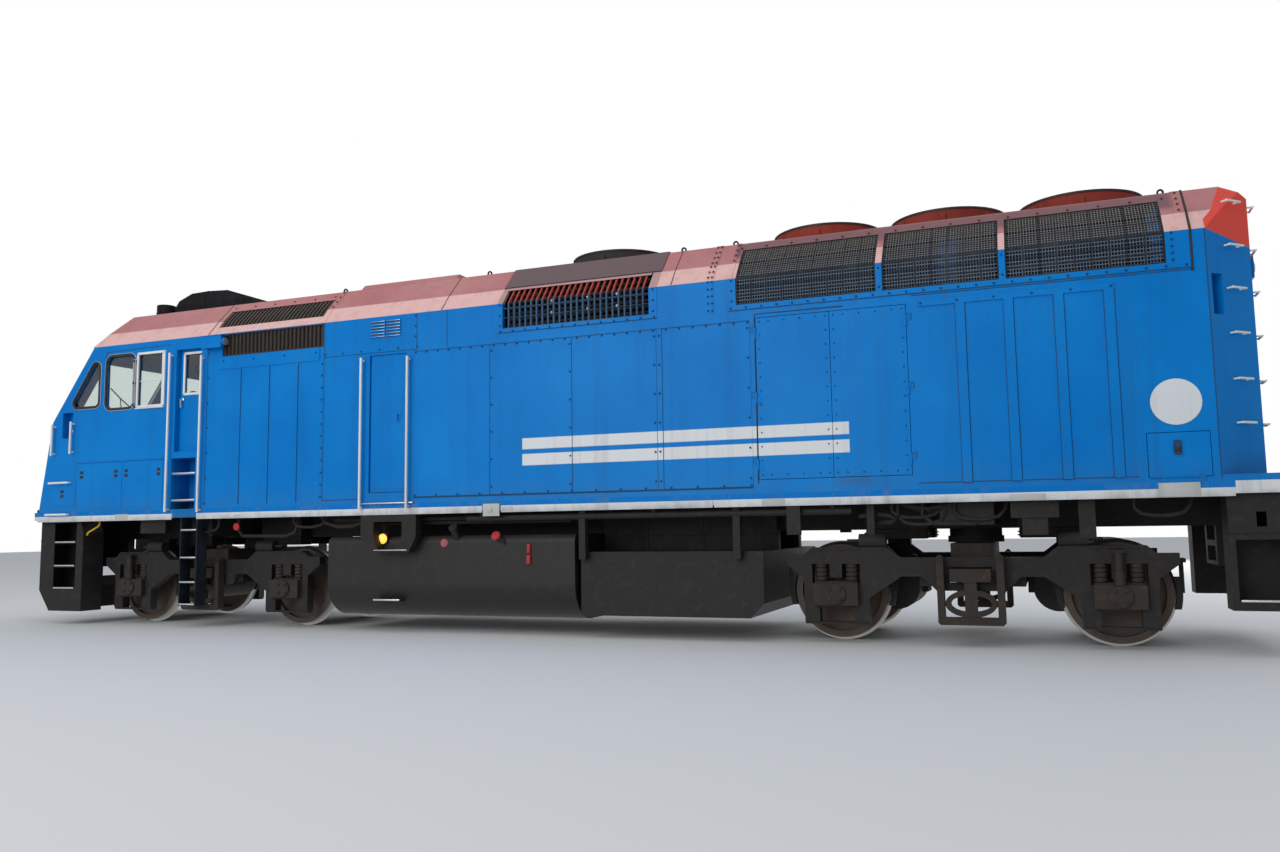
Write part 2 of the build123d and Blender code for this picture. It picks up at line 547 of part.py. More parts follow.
def journal_gear():
    """Journal boxes, bored for the axle ends, with the coil springs that carry the frame on them."""
    j, f, c = JOURNAL_BOX, FRAME, COIL
    gear = Part()
    middle_y = (f["y0"] + f["y1"]) / 2
    for x in (-HALF_WHEELBASE, HALF_WHEELBASE):
        box = block(x - j["half"], x + j["half"], f["y0"] - j["inside"], f["y1"] + 1, j["z0"], j["wing_z"])
        box += block(x - j["wing"], x + j["wing"], f["y0"], f["y1"], j["wing_z"], j["wing_top"])
        box += block(x - j["face"], x + j["face"], f["y1"] + SEAT, j["face_y"], j["z0"] + j["ease"], j["wing_z"])
        cap_z, cap_y = AXLE_Z - j["cap_drop"], j["face_y"] + JOURNAL_CAP["proud"]
        box += rod((x, f["y1"], cap_z), (x, cap_y, cap_z), JOURNAL_CAP["radius"])
        bore = JOURNAL_RADIUS + PIN_GAP
        box -= rod((x, f["y0"] - j["inside"] - 1, AXLE_Z), (x, JOURNAL_END_Y + PIN_GAP, AXLE_Z), bore)
        for shift in (-c["x"], c["x"]):
            box += Pos(x + shift, middle_y, 0) * coil_spring()
        gear += box
    return gear


def coil_spring():
    """A coil spring between the journal box's wing and the frame, with its turns as ridges."""
    c = COIL
    low, high = JOURNAL_BOX["wing_top"] - 1, PEDESTAL["roof"] - SEAT
    pitch = (high - low) / c["turns"]
    outline = [(0, low)]
    for index in range(c["turns"]):
        z = low + pitch * index
        outline += [(c["radius"] - c["groove"], z), (c["radius"], z + pitch / 4), (c["radius"], z + pitch * 3 / 4)]
    outline += [(c["radius"] - c["groove"], high), (0, high)]
    return revolve(Plane.XZ * make_face(Polyline(*outline, close=True)), axis=Axis.Z)


def snubber():
    """The upright damper over the outer journal box."""
    s = SNUBBER
    x, y = HALF_WHEELBASE, s["y"]
    foot = JOURNAL_BOX["wing_z"] - 1
    shape = rod((x, y, foot), (x, y, s["middle"]), s["body"])
    return shape + rod((x, y, s["middle"] - 1), (x, y, s["top"] - s["bracket"] - SEAT), s["radius"])


def truck_suspension():
    """Bolster, swing hangers, springs, journal boxes and dampers."""
    return bolster() + both(swing_hanger() + journal_gear() + snubber())


def truck_motors():
    """The two motors hung on the axles, each bored for its axle, with the gear cases."""
    m = MOTOR
    motors = Part()
    for side in (-1, 1):
        axle = side * HALF_WHEELBASE
        centre = side * m["x"]
        z = AXLE_Z + m["up"]
        motor = rod((centre, -m["half_y"], z), (centre, m["half_y"], z), m["radius"])
        low, high = AXLE_Z - m["case"], AXLE_Z + m["case"]
        motor += block(centre, axle + side * m["case"], -m["half_y"], m["half_y"], low, high)
        motor += block(side * m["nose"], centre, -m["nose_half"], m["nose_half"], z - m["case"] / 2, z + m["case"])
        motor += rod((axle, m["half_y"] - 1, AXLE_Z), (axle, m["gear_y"], AXLE_Z), m["gear"])
        bore = AXLE_RADIUS + PIN_GAP
        motor -= rod((axle, -m["half_y"] - 1, AXLE_Z), (axle, m["gear_y"] + 1, AXLE_Z), bore)
        motors += motor
    return motors


# Underframe and sills
def underframe():
    """The deck plate with its end beams."""
    inner = SIDE_Y - SILL_WIDTH
    deck = block(-DECK_X, DECK_X, -inner, inner, DECK_Z, SILL_TOP)
    for side in (-1, 1):
        near, far = side * DECK_X, side * (DECK_X + END_BEAM)
        deck += block(near, far, -END_BEAM_Y, END_BEAM_Y, SILL_BOTTOM, END_BEAM_TOP)
    return deck


def centre_sills():
    """The two centre sills with the bolsters, their centre plates and the coupler pockets."""
    s, b, p = CENTRE_SILL, BODY_BOLSTER, POCKET
    frame = Part()
    pocket_x = COUPLER_PIVOT - p["length"]
    for y in (-s["y"], s["y"]):
        frame += block(-pocket_x, pocket_x, y - s["half"], y + s["half"], SILL_DROP_Z, DECK_Z)
    plate_top = b["z0"] + s["half"]
    for x in (-TRUCK_X, TRUCK_X):
        frame += block(x - b["half_x"], x + b["half_x"], -b["half_y"], b["half_y"], b["z0"], DECK_Z)
        frame += Pos(x, 0, (CENTRE_PLATE_Z + plate_top) / 2) * Cylinder(b["plate"], plate_top - CENTRE_PLATE_Z)
    low, high = COUPLER_Z - COUPLER_HALF, COUPLER_Z + COUPLER_HALF
    for side in (-1, 1):
        x0, x1 = side * pocket_x, side * DECK_X
        frame += block(x0, x1, p["y0"], p["y1"], low - p["floor"], DECK_Z)
        frame += block(x0, x1, -p["y1"], -p["y0"], low - p["floor"], DECK_Z)
        frame += block(x0, x1, -p["y1"], p["y1"], low - p["floor"], low - PIN_GAP)
        frame += block(x0, x1, -p["y1"], p["y1"], high + PIN_GAP, high + p["lid"])
        x = side * COUPLER_PIVOT
        frame += rod((x, 0, low - p["floor"]), (x, 0, high + p["lid"]), COUPLER_PIN)
    return frame


def side_sills():
    """The two side beams whose outer faces carry the pale stripe, with their jacking pads."""
    j = JACK_PAD
    beam = block(-DECK_X, DECK_X, SIDE_Y - SILL_WIDTH, SIDE_Y, SILL_BOTTOM, SILL_TOP)
    out = SIDE_Y - j["from_edge"]
    for x in (-j["x"], j["x"]):
        half = j["length"] / 2
        beam += block(x - half, x + half, out - j["width"], out, SILL_BOTTOM - j["thick"], SILL_BOTTOM)
    return both(beam)


# Cab
def window_plug(window, grow, y0, y1):
    """A plug the shape of a side window with rounded corners, for cutting or glazing."""
    w = window
    middle_x, middle_z = (w["x0"] + w["x1"]) / 2, (w["z0"] + w["z1"]) / 2
    plane = Plane(origin=(middle_x, y0, middle_z), x_dir=(1, 0, 0), z_dir=(0, -1, 0))
    wide, tall = w["x1"] - w["x0"] + 2 * grow, w["z1"] - w["z0"] + 2 * grow
    return extrude(plane * RectangleRounded(wide, tall, w["radius"]), amount=-(y1 - y0))


def quarter_window(grow, y0, y1):
    """The slanting window behind the windscreen, larger all round by grow."""
    q = QUARTER_WINDOW
    points = [
        (q["front"] + grow, q["low"] - grow),
        (q["brow"] - grow / 2, q["high"] + grow),
        (q["back"] - grow, q["rear_high"] + grow),
        (q["back"] - grow, q["low"] - grow),
    ]
    face = make_face(Polyline(*points, close=True))
    face = fillet(face.vertices(), q["radius"])
    plane = Plane(origin=(0, y0, 0), x_dir=(1, 0, 0), z_dir=(0, -1, 0))
    return extrude(plane * face, amount=-(y1 - y0))


def cab_side_outline(inset):
    """The cab's side from the sill to the eave, drawn in X and Z and drawn in at the front by inset."""
    return [
        (CAB_REAR_X, SILL_TOP),
        (NOSE_FOOT_X - inset, SILL_TOP),
        (NOSE_KNEE_X - inset, NOSE_KNEE_Z),
        (BROW_X - inset, EAVE_Z),
        (CAB_REAR_X, EAVE_Z),
    ]


def nose_corner_cut():
    """What the flattened corner of the nose takes off, from the sill up to the brow."""
    cut = Part()
    stretches = [(NOSE_FOOT_X, SILL_TOP, NOSE_KNEE_X, NOSE_KNEE_Z), (NOSE_KNEE_X, NOSE_KNEE_Z, BROW_X, EAVE_Z)]
    for x0, z0, x1, z1 in stretches:
        points = [(x0 + 1, SIDE_Y - NOSE_EDGE), (x0 + 1, SIDE_Y + 1), (x0 - NOSE_EDGE, SIDE_Y + 1)]
        slope = Vector(x1 - x0, 0, z1 - z0)
        corner = Plane.XY.offset(z0) * make_face(Polyline(*points, close=True))
        cut += extrude(corner, amount=slope.length, dir=slope.normalized())
    return cut


def windscreen_frame():
    """The sloping plane of the windscreen, with its origin midway up on the centre line."""
    slope = Vector(BROW_X - NOSE_KNEE_X, 0, EAVE_Z - NOSE_KNEE_Z).normalized()
    middle = ((BROW_X + NOSE_KNEE_X) / 2, 0, (EAVE_Z + NOSE_KNEE_Z) / 2)
    return Plane(origin=middle, x_dir=(0, 1, 0), z_dir=Vector(0, 1, 0).cross(slope))


def windscreen_panes(grow, depth, sink):
    """Two plugs the shape of the windscreen panes, sunk below the sloping face."""
    w = WINDSCREEN
    plane = windscreen_frame().offset(-sink)
    panes = Part()
    for side in (-1, 1):
        pane = Pos(side * w["y"], 0) * RectangleRounded(w["width"] + 2 * grow, w["height"] + 2 * grow, w["radius"])
        panes += extrude(plane * pane, amount=-depth)
    return panes


def cab_shell():
    """The cab's nose, floor and rear wall, which the side panels close."""
    inner_y = SIDE_Y - WALL
    shell = side_prism(cab_side_outline(0), -inner_y, inner_y)
    hollow = side_prism(cab_side_outline(WALL * 1.2), -inner_y, inner_y)
    hollow &= block(CAB_REAR_X + WALL, HALF_LENGTH, -SIDE_Y, SIDE_Y, 0, ROOF_TOP_Z)
    shell -= hollow
    shell += block(CAB_REAR_X + WALL, CAB_FLOOR_X, -inner_y, inner_y, CAB_FLOOR_Z - CAB_FLOOR, CAB_FLOOR_Z)
    return shell - windscreen_panes(0, WALL * 4, -WALL / 2)


def cab_side():
    """The left side panel with its doorway, windows, step well and nose pocket cut, and its raised flaps."""
    d, well, pocket = CAB_DOOR, STEP_WELL, NOSE_POCKET
    inner_y = SIDE_Y - WALL
    panel = side_prism(cab_side_outline(0), inner_y, SIDE_Y) - nose_corner_cut()
    panel += block(d["x0"] - JAMB, d["x1"] + JAMB, CAB_DOOR_Y, inner_y, CAB_FLOOR_Z + SEAT, d["z1"] + JAMB)
    pocket_y, casing = SIDE_Y - pocket["depth"], pocket["casing"]
    panel += block(pocket["x0"] - casing, pocket["x1"] + casing, pocket_y - casing, inner_y,
                   pocket["z0"] - casing, pocket["z1"] + casing)
    for f in CAB_FLAPS:
        panel += block(f["x0"], f["x1"], SIDE_Y - 1, SIDE_Y + FLAP_PROUD, f["z0"], f["z1"])
    out, back = SIDE_Y + WALL, inner_y - 1
    cuts = block(d["x0"], d["x1"], CAB_DOOR_Y - 1, out, d["z0"], d["z1"])
    cuts += block(well["x0"], well["x1"], back, out, well["z0"] - 1, well_top())
    cuts += block(pocket["x0"], pocket["x1"], pocket_y, out, pocket["z0"], pocket["z1"])
    for window in SIDE_WINDOWS:
        cuts += window_plug(window, 0, back, out)
    return panel - cuts - quarter_window(0, back, out)


def well_top():
    """The height of the step well's ceiling, which clears the cab floor above it."""
    return CAB_FLOOR_Z - CAB_FLOOR - SEAT - STEP_WELL["casing"]


def cab_glass():
    """The windscreen and the side panes in their openings."""
    glass = windscreen_panes(-SEAT, GLASS, GLASS_SINK)
    y1 = SIDE_Y - GLASS_SINK
    for window in SIDE_WINDOWS:
        glass += both(window_plug(window, -SEAT, y1 - GLASS, y1))
    return glass + both(quarter_window(-SEAT, y1 - GLASS, y1))


def cab_roof():
    """The roof over the cab, which slopes down to the windscreen."""
    front = HIP_X + HALF_LENGTH - NOSE_FOOT_X
    roof = roof_prism(0, CAB_REAR_X, front) - cab_slope(0)
    return roof - (roof_prism(ROOF_SKIN, CAB_REAR_X + WALL, front) - cab_slope(ROOF_SKIN * 1.2))


def cab_steps():
    """The wells with their treads under the cab doors and the ladders that hang below them."""
    w, l = STEP_WELL, LADDER
    casing = w["casing"]
    inner_y = SIDE_Y - w["depth"]
    top_z = well_top() + casing
    steps = block(w["x0"] - casing, w["x1"] + casing, inner_y - casing, SIDE_Y - WALL - SEAT, w["z0"], top_z)
    steps -= block(w["x0"], w["x1"], inner_y, SIDE_Y, w["z0"] - 1, well_top())
    for z in WELL_TREADS:
        steps += block(w["x0"] - 1, w["x1"] + 1, inner_y - 1, SIDE_Y - WALL - SEAT, z, z + TREAD)
        steps += block(w["x0"] + SEAT, w["x1"] - SEAT, inner_y, SIDE_Y - casing, z, z + TREAD)
    ladder = Part()
    out = SIDE_Y - TREAD / 2
    for z in LADDER_TREADS:
        ladder += block(l["x0"], l["x1"] + l["stile"], l["y0"], out, z, z + TREAD)
    for x in (l["x0"], l["x1"]):
        ladder += block(x, x + l["stile"], l["y0"], out, LADDER_TREADS[0], SILL_BOTTOM - SEAT)
    return both(steps + ladder)


# Doors
def pivot_door(opening, y0, y1, hinge_at_front):
    """A flat door whose rounded hinge edge turns on a pin at its top and bottom."""
    o = opening
    half = (y1 - y0) / 2
    middle = (y0 + y1) / 2
    low, high = o["z0"] + SWING_GAP, o["z1"] - SWING_GAP
    if hinge_at_front:
        pivot = o["x1"] - SWING_GAP - half
        slab = block(o["x0"] + SWING_GAP, pivot, y0, y1, low, high)
    else:
        pivot = o["x0"] + SWING_GAP + half
        slab = block(pivot, o["x1"] - SWING_GAP, y0, y1, low, high)
    slab += rod((pivot, middle, low), (pivot, middle, high), half)
    return slab + rod((pivot, middle, o["z0"] + SEAT), (pivot, middle, o["z1"] - SEAT), HINGE_PIN)


def cab_door():
    """The left cab door with its window cut."""
    w = DOOR_WINDOW
    y1 = CAB_DOOR_Y + CAB_DOOR_THICK
    hole = block(w["x0"], w["x1"], CAB_DOOR_Y - 1, y1 + 1, w["z0"], w["z1"])
    return pivot_door(CAB_DOOR, CAB_DOOR_Y, y1, False) - hole


def cab_door_glass():
    """The pane in the left cab door."""
    w = DOOR_WINDOW
    middle = CAB_DOOR_Y + CAB_DOOR_THICK / 2
    y0, y1 = middle - GLASS / 2, middle + GLASS / 2
    return block(w["x0"] + SEAT, w["x1"] - SEAT, y0, y1, w["z0"] + SEAT, w["z1"] - SEAT)


def engine_door():
    """The left engine room door, set back in its doorway."""
    y1 = SIDE_Y - ENGINE_DOOR_SINK
    return pivot_door(ENGINE_DOOR, y1 - LEAF, y1, True)


def cooler_hinge_x(opening_edge, way):
    """Where the pins of an outside-hinged leaf stand along X."""
    return opening_edge + way * SWING_GAP / 2


def cooler_leaf(front):
    """One leaf of the double doors, with its halves of the outside hinges."""
    o = COOLER_DOOR
    half_gap = SWING_GAP / 2
    if front:
        x0, x1, edge, way = COOLER_SPLIT + half_gap, o["x1"] - SWING_GAP, o["x1"], -1
    else:
        x0, x1, edge, way = o["x0"] + SWING_GAP, COOLER_SPLIT - half_gap, o["x0"], 1
    leaf = block(x0, x1, SIDE_Y - LEAF, SIDE_Y, o["z0"] + SWING_GAP, o["z1"] - SWING_GAP)
    x, y = cooler_hinge_x(edge, way), SIDE_Y + HINGE_RADIUS
    for z in COOLER_HINGES:
        leaf += rod((x, y, z - HINGE_LENGTH), (x, y, z - PIN_GAP), HINGE_RADIUS)
        leaf += block(x, x + way * HINGE_STRAP, SIDE_Y, SIDE_Y + STRAP_THICK, z - HINGE_LENGTH, z - PIN_GAP)
    return leaf


def cooler_wall_hinges():
    """The wall's halves of the double doors' hinges."""
    y = SIDE_Y + HINGE_RADIUS
    shapes = Part()
    for edge, way in ((COOLER_DOOR["x1"], -1), (COOLER_DOOR["x0"], 1)):
        x = cooler_hinge_x(edge, way)
        for z in COOLER_HINGES:
            shapes += rod((x, y, z), (x, y, z + HINGE_LENGTH), HINGE_RADIUS)
            shapes += block(x, x - way * HINGE_STRAP, SIDE_Y - 1, SIDE_Y + STRAP_THICK, z, z + HINGE_LENGTH)
    return shapes


def flap_axis_z():
    """The height of the locker flap's hinge line."""
    return LOCKER_FLAP["z0"] + SWING_GAP / 2


def locker_flap():
    """The low flap that folds down on two hinges along its bottom edge."""
    o = LOCKER_FLAP
    gap = SWING_GAP
    flap = block(o["x0"] + gap, o["x1"] - gap, SIDE_Y - LEAF, SIDE_Y, o["z0"] + gap, o["z1"] - gap)
    y, z = SIDE_Y + HINGE_RADIUS, flap_axis_z()
    for x in FLAP_HINGES:
        flap += rod((x, y, z), (x + HINGE_STRAP, y, z), HINGE_RADIUS)
        flap += block(x, x + HINGE_STRAP, SIDE_Y, SIDE_Y + STRAP_THICK, z, z + HINGE_STRAP)
    return flap


def flap_wall_hinges():
    """The wall's halves of the flap's hinges."""
    y, z = SIDE_Y + HINGE_RADIUS, flap_axis_z()
    shapes = Part()
    for x in FLAP_HINGES:
        shapes += rod((x - HINGE_STRAP, y, z), (x - PIN_GAP, y, z), HINGE_RADIUS)
        shapes += block(x - HINGE_STRAP, x - PIN_GAP, SIDE_Y - 1, SIDE_Y + STRAP_THICK, z - HINGE_STRAP * 0.8, z)
    return shapes


def rear_door():
    """The door in the end wall, on pins at its left edge."""
    r = REAR_DOOR
    half = LEAF / 2
    x = END_X + WALL / 2
    low, high = r["z0"] + SWING_GAP, r["z1"] - SWING_GAP
    pivot = r["y1"] - SWING_GAP - half
    slab = block(x - half, x + half, r["y0"] + SWING_GAP, pivot, low, high)
    slab += rod((x, pivot, low), (x, pivot, high), half)
    return slab + rod((x, pivot, r["z0"] + SEAT), (x, pivot, r["z1"] - SEAT), HINGE_PIN)


# Engine room walls, from the cab's rear to the end wall
def wall_outline(inset):
    """The plan of the walls with their 45 degree rear corners, drawn in by inset."""
    cut = inset * math.tan(math.radians(22.5))
    return [
        (CAB_REAR_X, SIDE_Y - inset),
        (CORNER_X + cut, SIDE_Y - inset),
        (END_X + inset, END_Y - cut),
        (END_X + inset, -END_Y + cut),
        (CORNER_X + cut, -SIDE_Y + inset),
        (CAB_REAR_X, -SIDE_Y + inset),
    ]


def wall_ring(z0, z1):
    """The walls as a plain ring between two heights."""
    return plan_prism(wall_outline(0), z0, z1) - plan_prism(wall_outline(WALL), z0, z1)


def end_hip(setback):
    """All that lies under the sloping end of the rear roof."""
    beyond = 20.0
    points = [
        (END_X - beyond, SILL_TOP), (END_X - beyond, END_TOP_Z - setback), (END_X, END_TOP_Z - setback),
        (END_HIP_X, ROOF_EDGE_Z - setback), (END_CROWN_X, ROOF_TOP_Z + beyond - setback),
        (CAB_REAR_X, ROOF_TOP_Z + beyond), (CAB_REAR_X, SILL_TOP),
    ]
    return side_prism(points, -SIDE_Y - beyond, SIDE_Y + beyond)


def end_wall_top():
    """The end wall and its bevelled corners above the eave, up to the sloping roof."""
    top = wall_ring(EAVE_Z, ROOF_TOP_Z) & roof_prism(0, END_X - 1, CORNER_X) & end_hip(0)
    return top & block(END_X - 1, CORNER_X - 1, -SIDE_Y, SIDE_Y, EAVE_Z, ROOF_TOP_Z)


def bevel_box(a0, a1, d0, d1, z0, z1):
    """A box on the left rear corner: a runs along the bevel from the side wall, d outward from its face."""
    lean = math.sqrt(0.5)
    plane = Plane(origin=(CORNER_X, SIDE_Y, 0), x_dir=(-lean, -lean, 0), z_dir=(-lean, lean, 0))
    return plane * Pos((a0 + a1) / 2, (z0 + z1) / 2, (d0 + d1) / 2) * Box(a1 - a0, z1 - z0, d1 - d0)


def bevel_point(a, d, z):
    """A point on the left rear corner, a along the bevel and d out from its face."""
    lean = math.sqrt(0.5)
    return (CORNER_X - (a + d) * lean, SIDE_Y - (a - d) * lean, z)


def side_wall_details():
    """Ribs, raised plates, the small louvres and the camera box on the left side wall."""
    shapes = Part()
    for ribs in (NARROW_RIBS, WIDE_RIBS):
        for x in ribs["xs"]:
            half = ribs["width"] / 2
            shapes += block(x - half, x + half, SIDE_Y - 1, SIDE_Y + ribs["proud"], ribs["z0"], ribs["z1"])
    for p in SIDE_PLATES:
        shapes += block(p["x0"], p["x1"], SIDE_Y - 1, SIDE_Y + p["proud"], p["z0"], p["z1"])
    u = SMALL_LOUVRE
    pitch = (u["z1"] - u["z0"]) / u["slats"]
    middle = (u["x0"] + u["x1"]) / 2
    for x0, x1 in ((u["x0"], middle - u["split"] / 2), (middle + u["split"] / 2, u["x1"])):
        for index in range(u["slats"]):
            z = u["z0"] + pitch * index
            face = SIDE_Y + u["proud"]
            slat = [(SIDE_Y - 1, z), (face, z), (face, z + STRAP_THICK), (SIDE_Y - 1, z + pitch - 1)]
            shapes += cross_prism(slat, x0, x1)
    c = CAMERA_BOX
    shapes += block(c["x0"], c["x1"], SIDE_Y - 1, SIDE_Y + c["deep"], c["z0"], c["z1"])
    y, z = SIDE_Y + c["deep"] / 2, (c["z0"] + c["z1"]) / 2
    return shapes + rod((c["x0"] - c["nose"], y, z), (c["x0"] + 1, y, z), c["lens"])


def vent_spans():
    """The ends and the bottom and top of each vent that is cut in the side walls."""
    spans = [(g["x0"], g["x1"], GRILLE["z0"], EAVE_Z + 1) for g in GRILLES]
    spans.append((BRAKE_GRID["x0"], BRAKE_GRID["x1"], BRAKE_GRID["z0"], EAVE_Z + 1))
    spans.append((INTAKE["x0"], INTAKE["x1"], INTAKE["z0"], INTAKE["z1"]))
    return spans


def carbody_walls():
    """Both side walls and the end wall as one welded shell, with its doorways and vents cut."""
    walls = wall_ring(SILL_TOP, EAVE_Z) + end_wall_top() + both(side_wall_details())
    back, out = SIDE_Y - WALL - 1, SIDE_Y + WALL
    for o in (ENGINE_DOOR, COOLER_DOOR, LOCKER_FLAP):
        walls -= both(block(o["x0"], o["x1"], back, out, o["z0"], o["z1"]))
    for x0, x1, z0, z1 in vent_spans():
        walls -= both(block(x0, x1, back, out, z0, z1))
    r, b, e = REAR_DOOR, BEVEL_RECESS, END_LAMP_BOX
    walls -= block(END_X - 1, END_X + WALL + 1, r["y0"], r["y1"], r["z0"], r["z1"])
    case = b["casing"]
    pocket = bevel_box(b["a0"] - case, b["a1"] + case, -b["depth"] - case, -1, b["z0"] - case, b["z1"] + case)
    walls += both(pocket)
    walls -= both(bevel_box(b["a0"], b["a1"], -b["depth"], 1, b["z0"], b["z1"]))
    edge = block(-DECK_X, CORNER_X - SEAT, SIDE_Y - FASCIA["thick"], SIDE_Y, SILL_TOP, SILL_TOP + FASCIA["height"])
    lamp = block(END_X - e["deep"], END_X + 1, e["y0"], e["y1"], e["z0"], e["z1"])
    return walls + both(edge + lamp + cooler_wall_hinges() + flap_wall_hinges())


# Roof behind the cab
def roof_vents():
    """What is cut from the roof over the vents and the fans."""
    out = SIDE_Y + WALL
    spans = [(g["x0"], g["x1"], EAVE_Z - 1, GRILLE["z1"]) for g in GRILLES]
    spans.append((BRAKE_GRID["x0"], BRAKE_GRID["x1"], EAVE_Z - 1, CREASE_Z))
    spans.append((ROOF_INTAKE["x0"], ROOF_INTAKE["x1"], ROOF_INTAKE["z0"], ROOF_INTAKE["z1"]))
    cuts = Part()
    for x0, x1, z0, z1 in spans:
        cuts += both(block(x0, x1, ROOF_EDGE_Y - ROOF_SKIN, out, z0, z1))
    for x in FAN_XS + [BRAKE_FAN_X]:
        cuts += rod((x, 0, SHROUD_LOW), (x, 0, SHROUD_TOP), SHROUD_RADIUS)
    return cuts


def carbody_roof():
    """The long roof behind the cab with its chamfered edges, raised seams, vents and fan wells."""
    over = ROOF_TOP_Z + WALL
    body = roof_prism(0, END_X, CAB_REAR_X) & end_hip(0) & plan_prism(wall_outline(0), EAVE_Z, over)
    for band in ROOF_BANDS:
        body += roof_prism(-band["proud"], band["x0"], band["x1"])
    cover = BRAKE_COVER
    body += roof_prism(-cover["proud"], cover["x0"], cover["x1"]) & block(
        cover["x0"], cover["x1"], -SIDE_Y, SIDE_Y, CREASE_Z + cover["proud"], over)
    hollow = roof_prism(ROOF_SKIN, END_X, CAB_REAR_X) & end_hip(ROOF_SKIN * 1.1)
    hollow &= plan_prism(wall_outline(WALL), EAVE_Z, over)
    return body - hollow - end_wall_top() - roof_vents()


# Vents
def brake_grid_bars():
    """The row of upright bars over the brake resistors, bent in over the eave."""
    g = BRAKE_GRID
    pitch = (g["x1"] - g["x0"]) / g["bars"]
    face, back = SIDE_Y - g["sink"], SIDE_Y - g["sink"] - g["deep"]
    lean = CREASE_Y - SIDE_Y
    top = CREASE_Z - SEAT
    low = g["z0"] + SEAT
    bar = [
        (face, low), (face, EAVE_Z), (face + lean, top),
        (back + lean, top), (back, EAVE_Z - g["sink"]), (back, low),
    ]
    bars = Part()
    for index in range(1, g["bars"]):
        x = g["x0"] + pitch * index
        bars += cross_prism(bar, x - g["width"] / 2, x + g["width"] / 2)
    x0, x1 = g["x0"] + SEAT, g["x1"] - SEAT
    tie, middle = g["tie"], (face + back) / 2
    bars += block(x0, x1, middle - tie / 2, middle + tie / 2, g["tie_z"], g["tie_z"] + tie)
    bars += block(x0, x1, back, face, low, low + tie)
    return both(bars)


def folded_sheet(x0, x1, z0, z1, thick, sink):
    """A sheet that follows the side wall and the roof's chamfer between two heights, sunk by a distance."""
    heights = [z0] + [z for z in (EAVE_Z, CREASE_Z) if z0 < z < z1] + [z1]
    out = [((SIDE_Y if z < EAVE_Z else roof_side_y(z)) - sink, z) for z in heights]
    back = [(y - thick, z) for y, z in reversed(out)]
    return cross_prism(out + back, x0, x1)


def grille_rows():
    """The bottom and top of each row of openings in a grille, in the wall and on the roof's chamfer."""
    g = GRILLE
    rows = []
    for low, high in ((g["z0"] + g["border"], EAVE_Z - g["border"]), (EAVE_Z + g["border"], g["z1"] - g["border"])):
        step = (high - low + g["bar"]) / g["rows"]
        rows += [(low + step * index, low + step * (index + 1) - g["bar"]) for index in range(g["rows"])]
    return rows


def radiator_grilles():
    """The framed screens over the radiator air intakes, which fold in over the eave."""
    g = GRILLE
    screens = Part()
    for span in GRILLES:
        x0, x1 = span["x0"], span["x1"]
        screen = folded_sheet(x0 + SEAT, x1 - SEAT, g["z0"] + SEAT, g["z1"] - SEAT, g["thick"], g["sink"])
        bays = round((x1 - x0) / g["bay"])
        pitch = (x1 - x0 - 2 * g["border"] + g["bar"]) / bays
        holes = Part()
        for index in range(bays):
            left = x0 + g["border"] + pitch * index
            for low, high in grille_rows():
                holes += block(left, left + pitch - g["bar"], ROOF_EDGE_Y, SIDE_Y, low, high)
        screens += screen - holes
    return both(screens)


def corrugated_plan(x0, x1, face):
    """The plan of a sheet with slant-sided corrugations whose outermost faces lie at y = face."""
    r = INTAKE_RIB
    count = round((x1 - x0) / r["pitch"])
    pitch = (x1 - x0) / count
    step = (pitch - r["width"]) / 4
    valley = face - r["deep"]
    front = []
    for index in range(count):
        x = x0 + pitch * index
        end = x + pitch
        front += [(x, valley), (x + step, valley), (x + 2 * step, face), (end - 2 * step, face), (end - step, valley)]
    front.append((x1, valley))
    return front + [(x, y - r["sheet"]) for x, y in reversed(front)]


def intake_louvres():
    """The corrugated engine air intakes in the wall and on the roof's chamfer."""
    i, r, rib = INTAKE, ROOF_INTAKE, INTAKE_RIB
    plan = corrugated_plan(i["x0"] + SEAT, i["x1"] - SEAT, SIDE_Y - rib["sink"])
    louvres = plan_prism(plan, i["z0"] + SEAT, i["z1"] - SEAT)
    x0, x1, z0, z1 = r["x0"] + SEAT, r["x1"] - SEAT, r["z0"] + SEAT, r["z1"] - SEAT
    louvres += folded_sheet(x0, x1, z0, z1, rib["sheet"], rib["sink"] + rib["deep"])
    count = round((x1 - x0) / rib["pitch"])
    pitch = (x1 - x0) / count
    for index in range(count):
        x = x0 + pitch * (index + 0.5)
        louvres += folded_sheet(x - rib["width"] / 2, x + rib["width"] / 2, z0, z1, rib["deep"] + 1, rib["sink"])
    return both(louvres)


# Roof gear
def ring(x, outer, inner, z0, z1):
    """A round band about an upright line on the centre plane."""
    return rod((x, 0, z0), (x, 0, z1), outer) - rod((x, 0, z0), (x, 0, z1), inner)


def fan_shroud(x):
    """A fan's round shroud and the motor on its arms under the fan."""
    outer = SHROUD_RADIUS - PIN_GAP
    shroud = ring(x, outer, outer - SHROUD_WALL, SHROUD_LOW, SHROUD_TOP)
    reach = outer - SHROUD_WALL / 2
    for turn in range(2):
        arm = Box(2 * reach, FAN_ARM["width"], FAN_ARM["deep"])
        shroud += Pos(x, 0, SHROUD_LOW + FAN_ARM["deep"] / 2) * Rot(0, 0, 90 * turn) * arm
    shroud += rod((x, 0, SHROUD_LOW), (x, 0, FAN_HUB_LOW - PIN_GAP), FAN_ARM["pot"])
    return shroud + rod((x, 0, SHROUD_LOW), (x, 0, FAN_HUB_LOW + FAN_HEIGHT * 0.8), FAN_PIN)


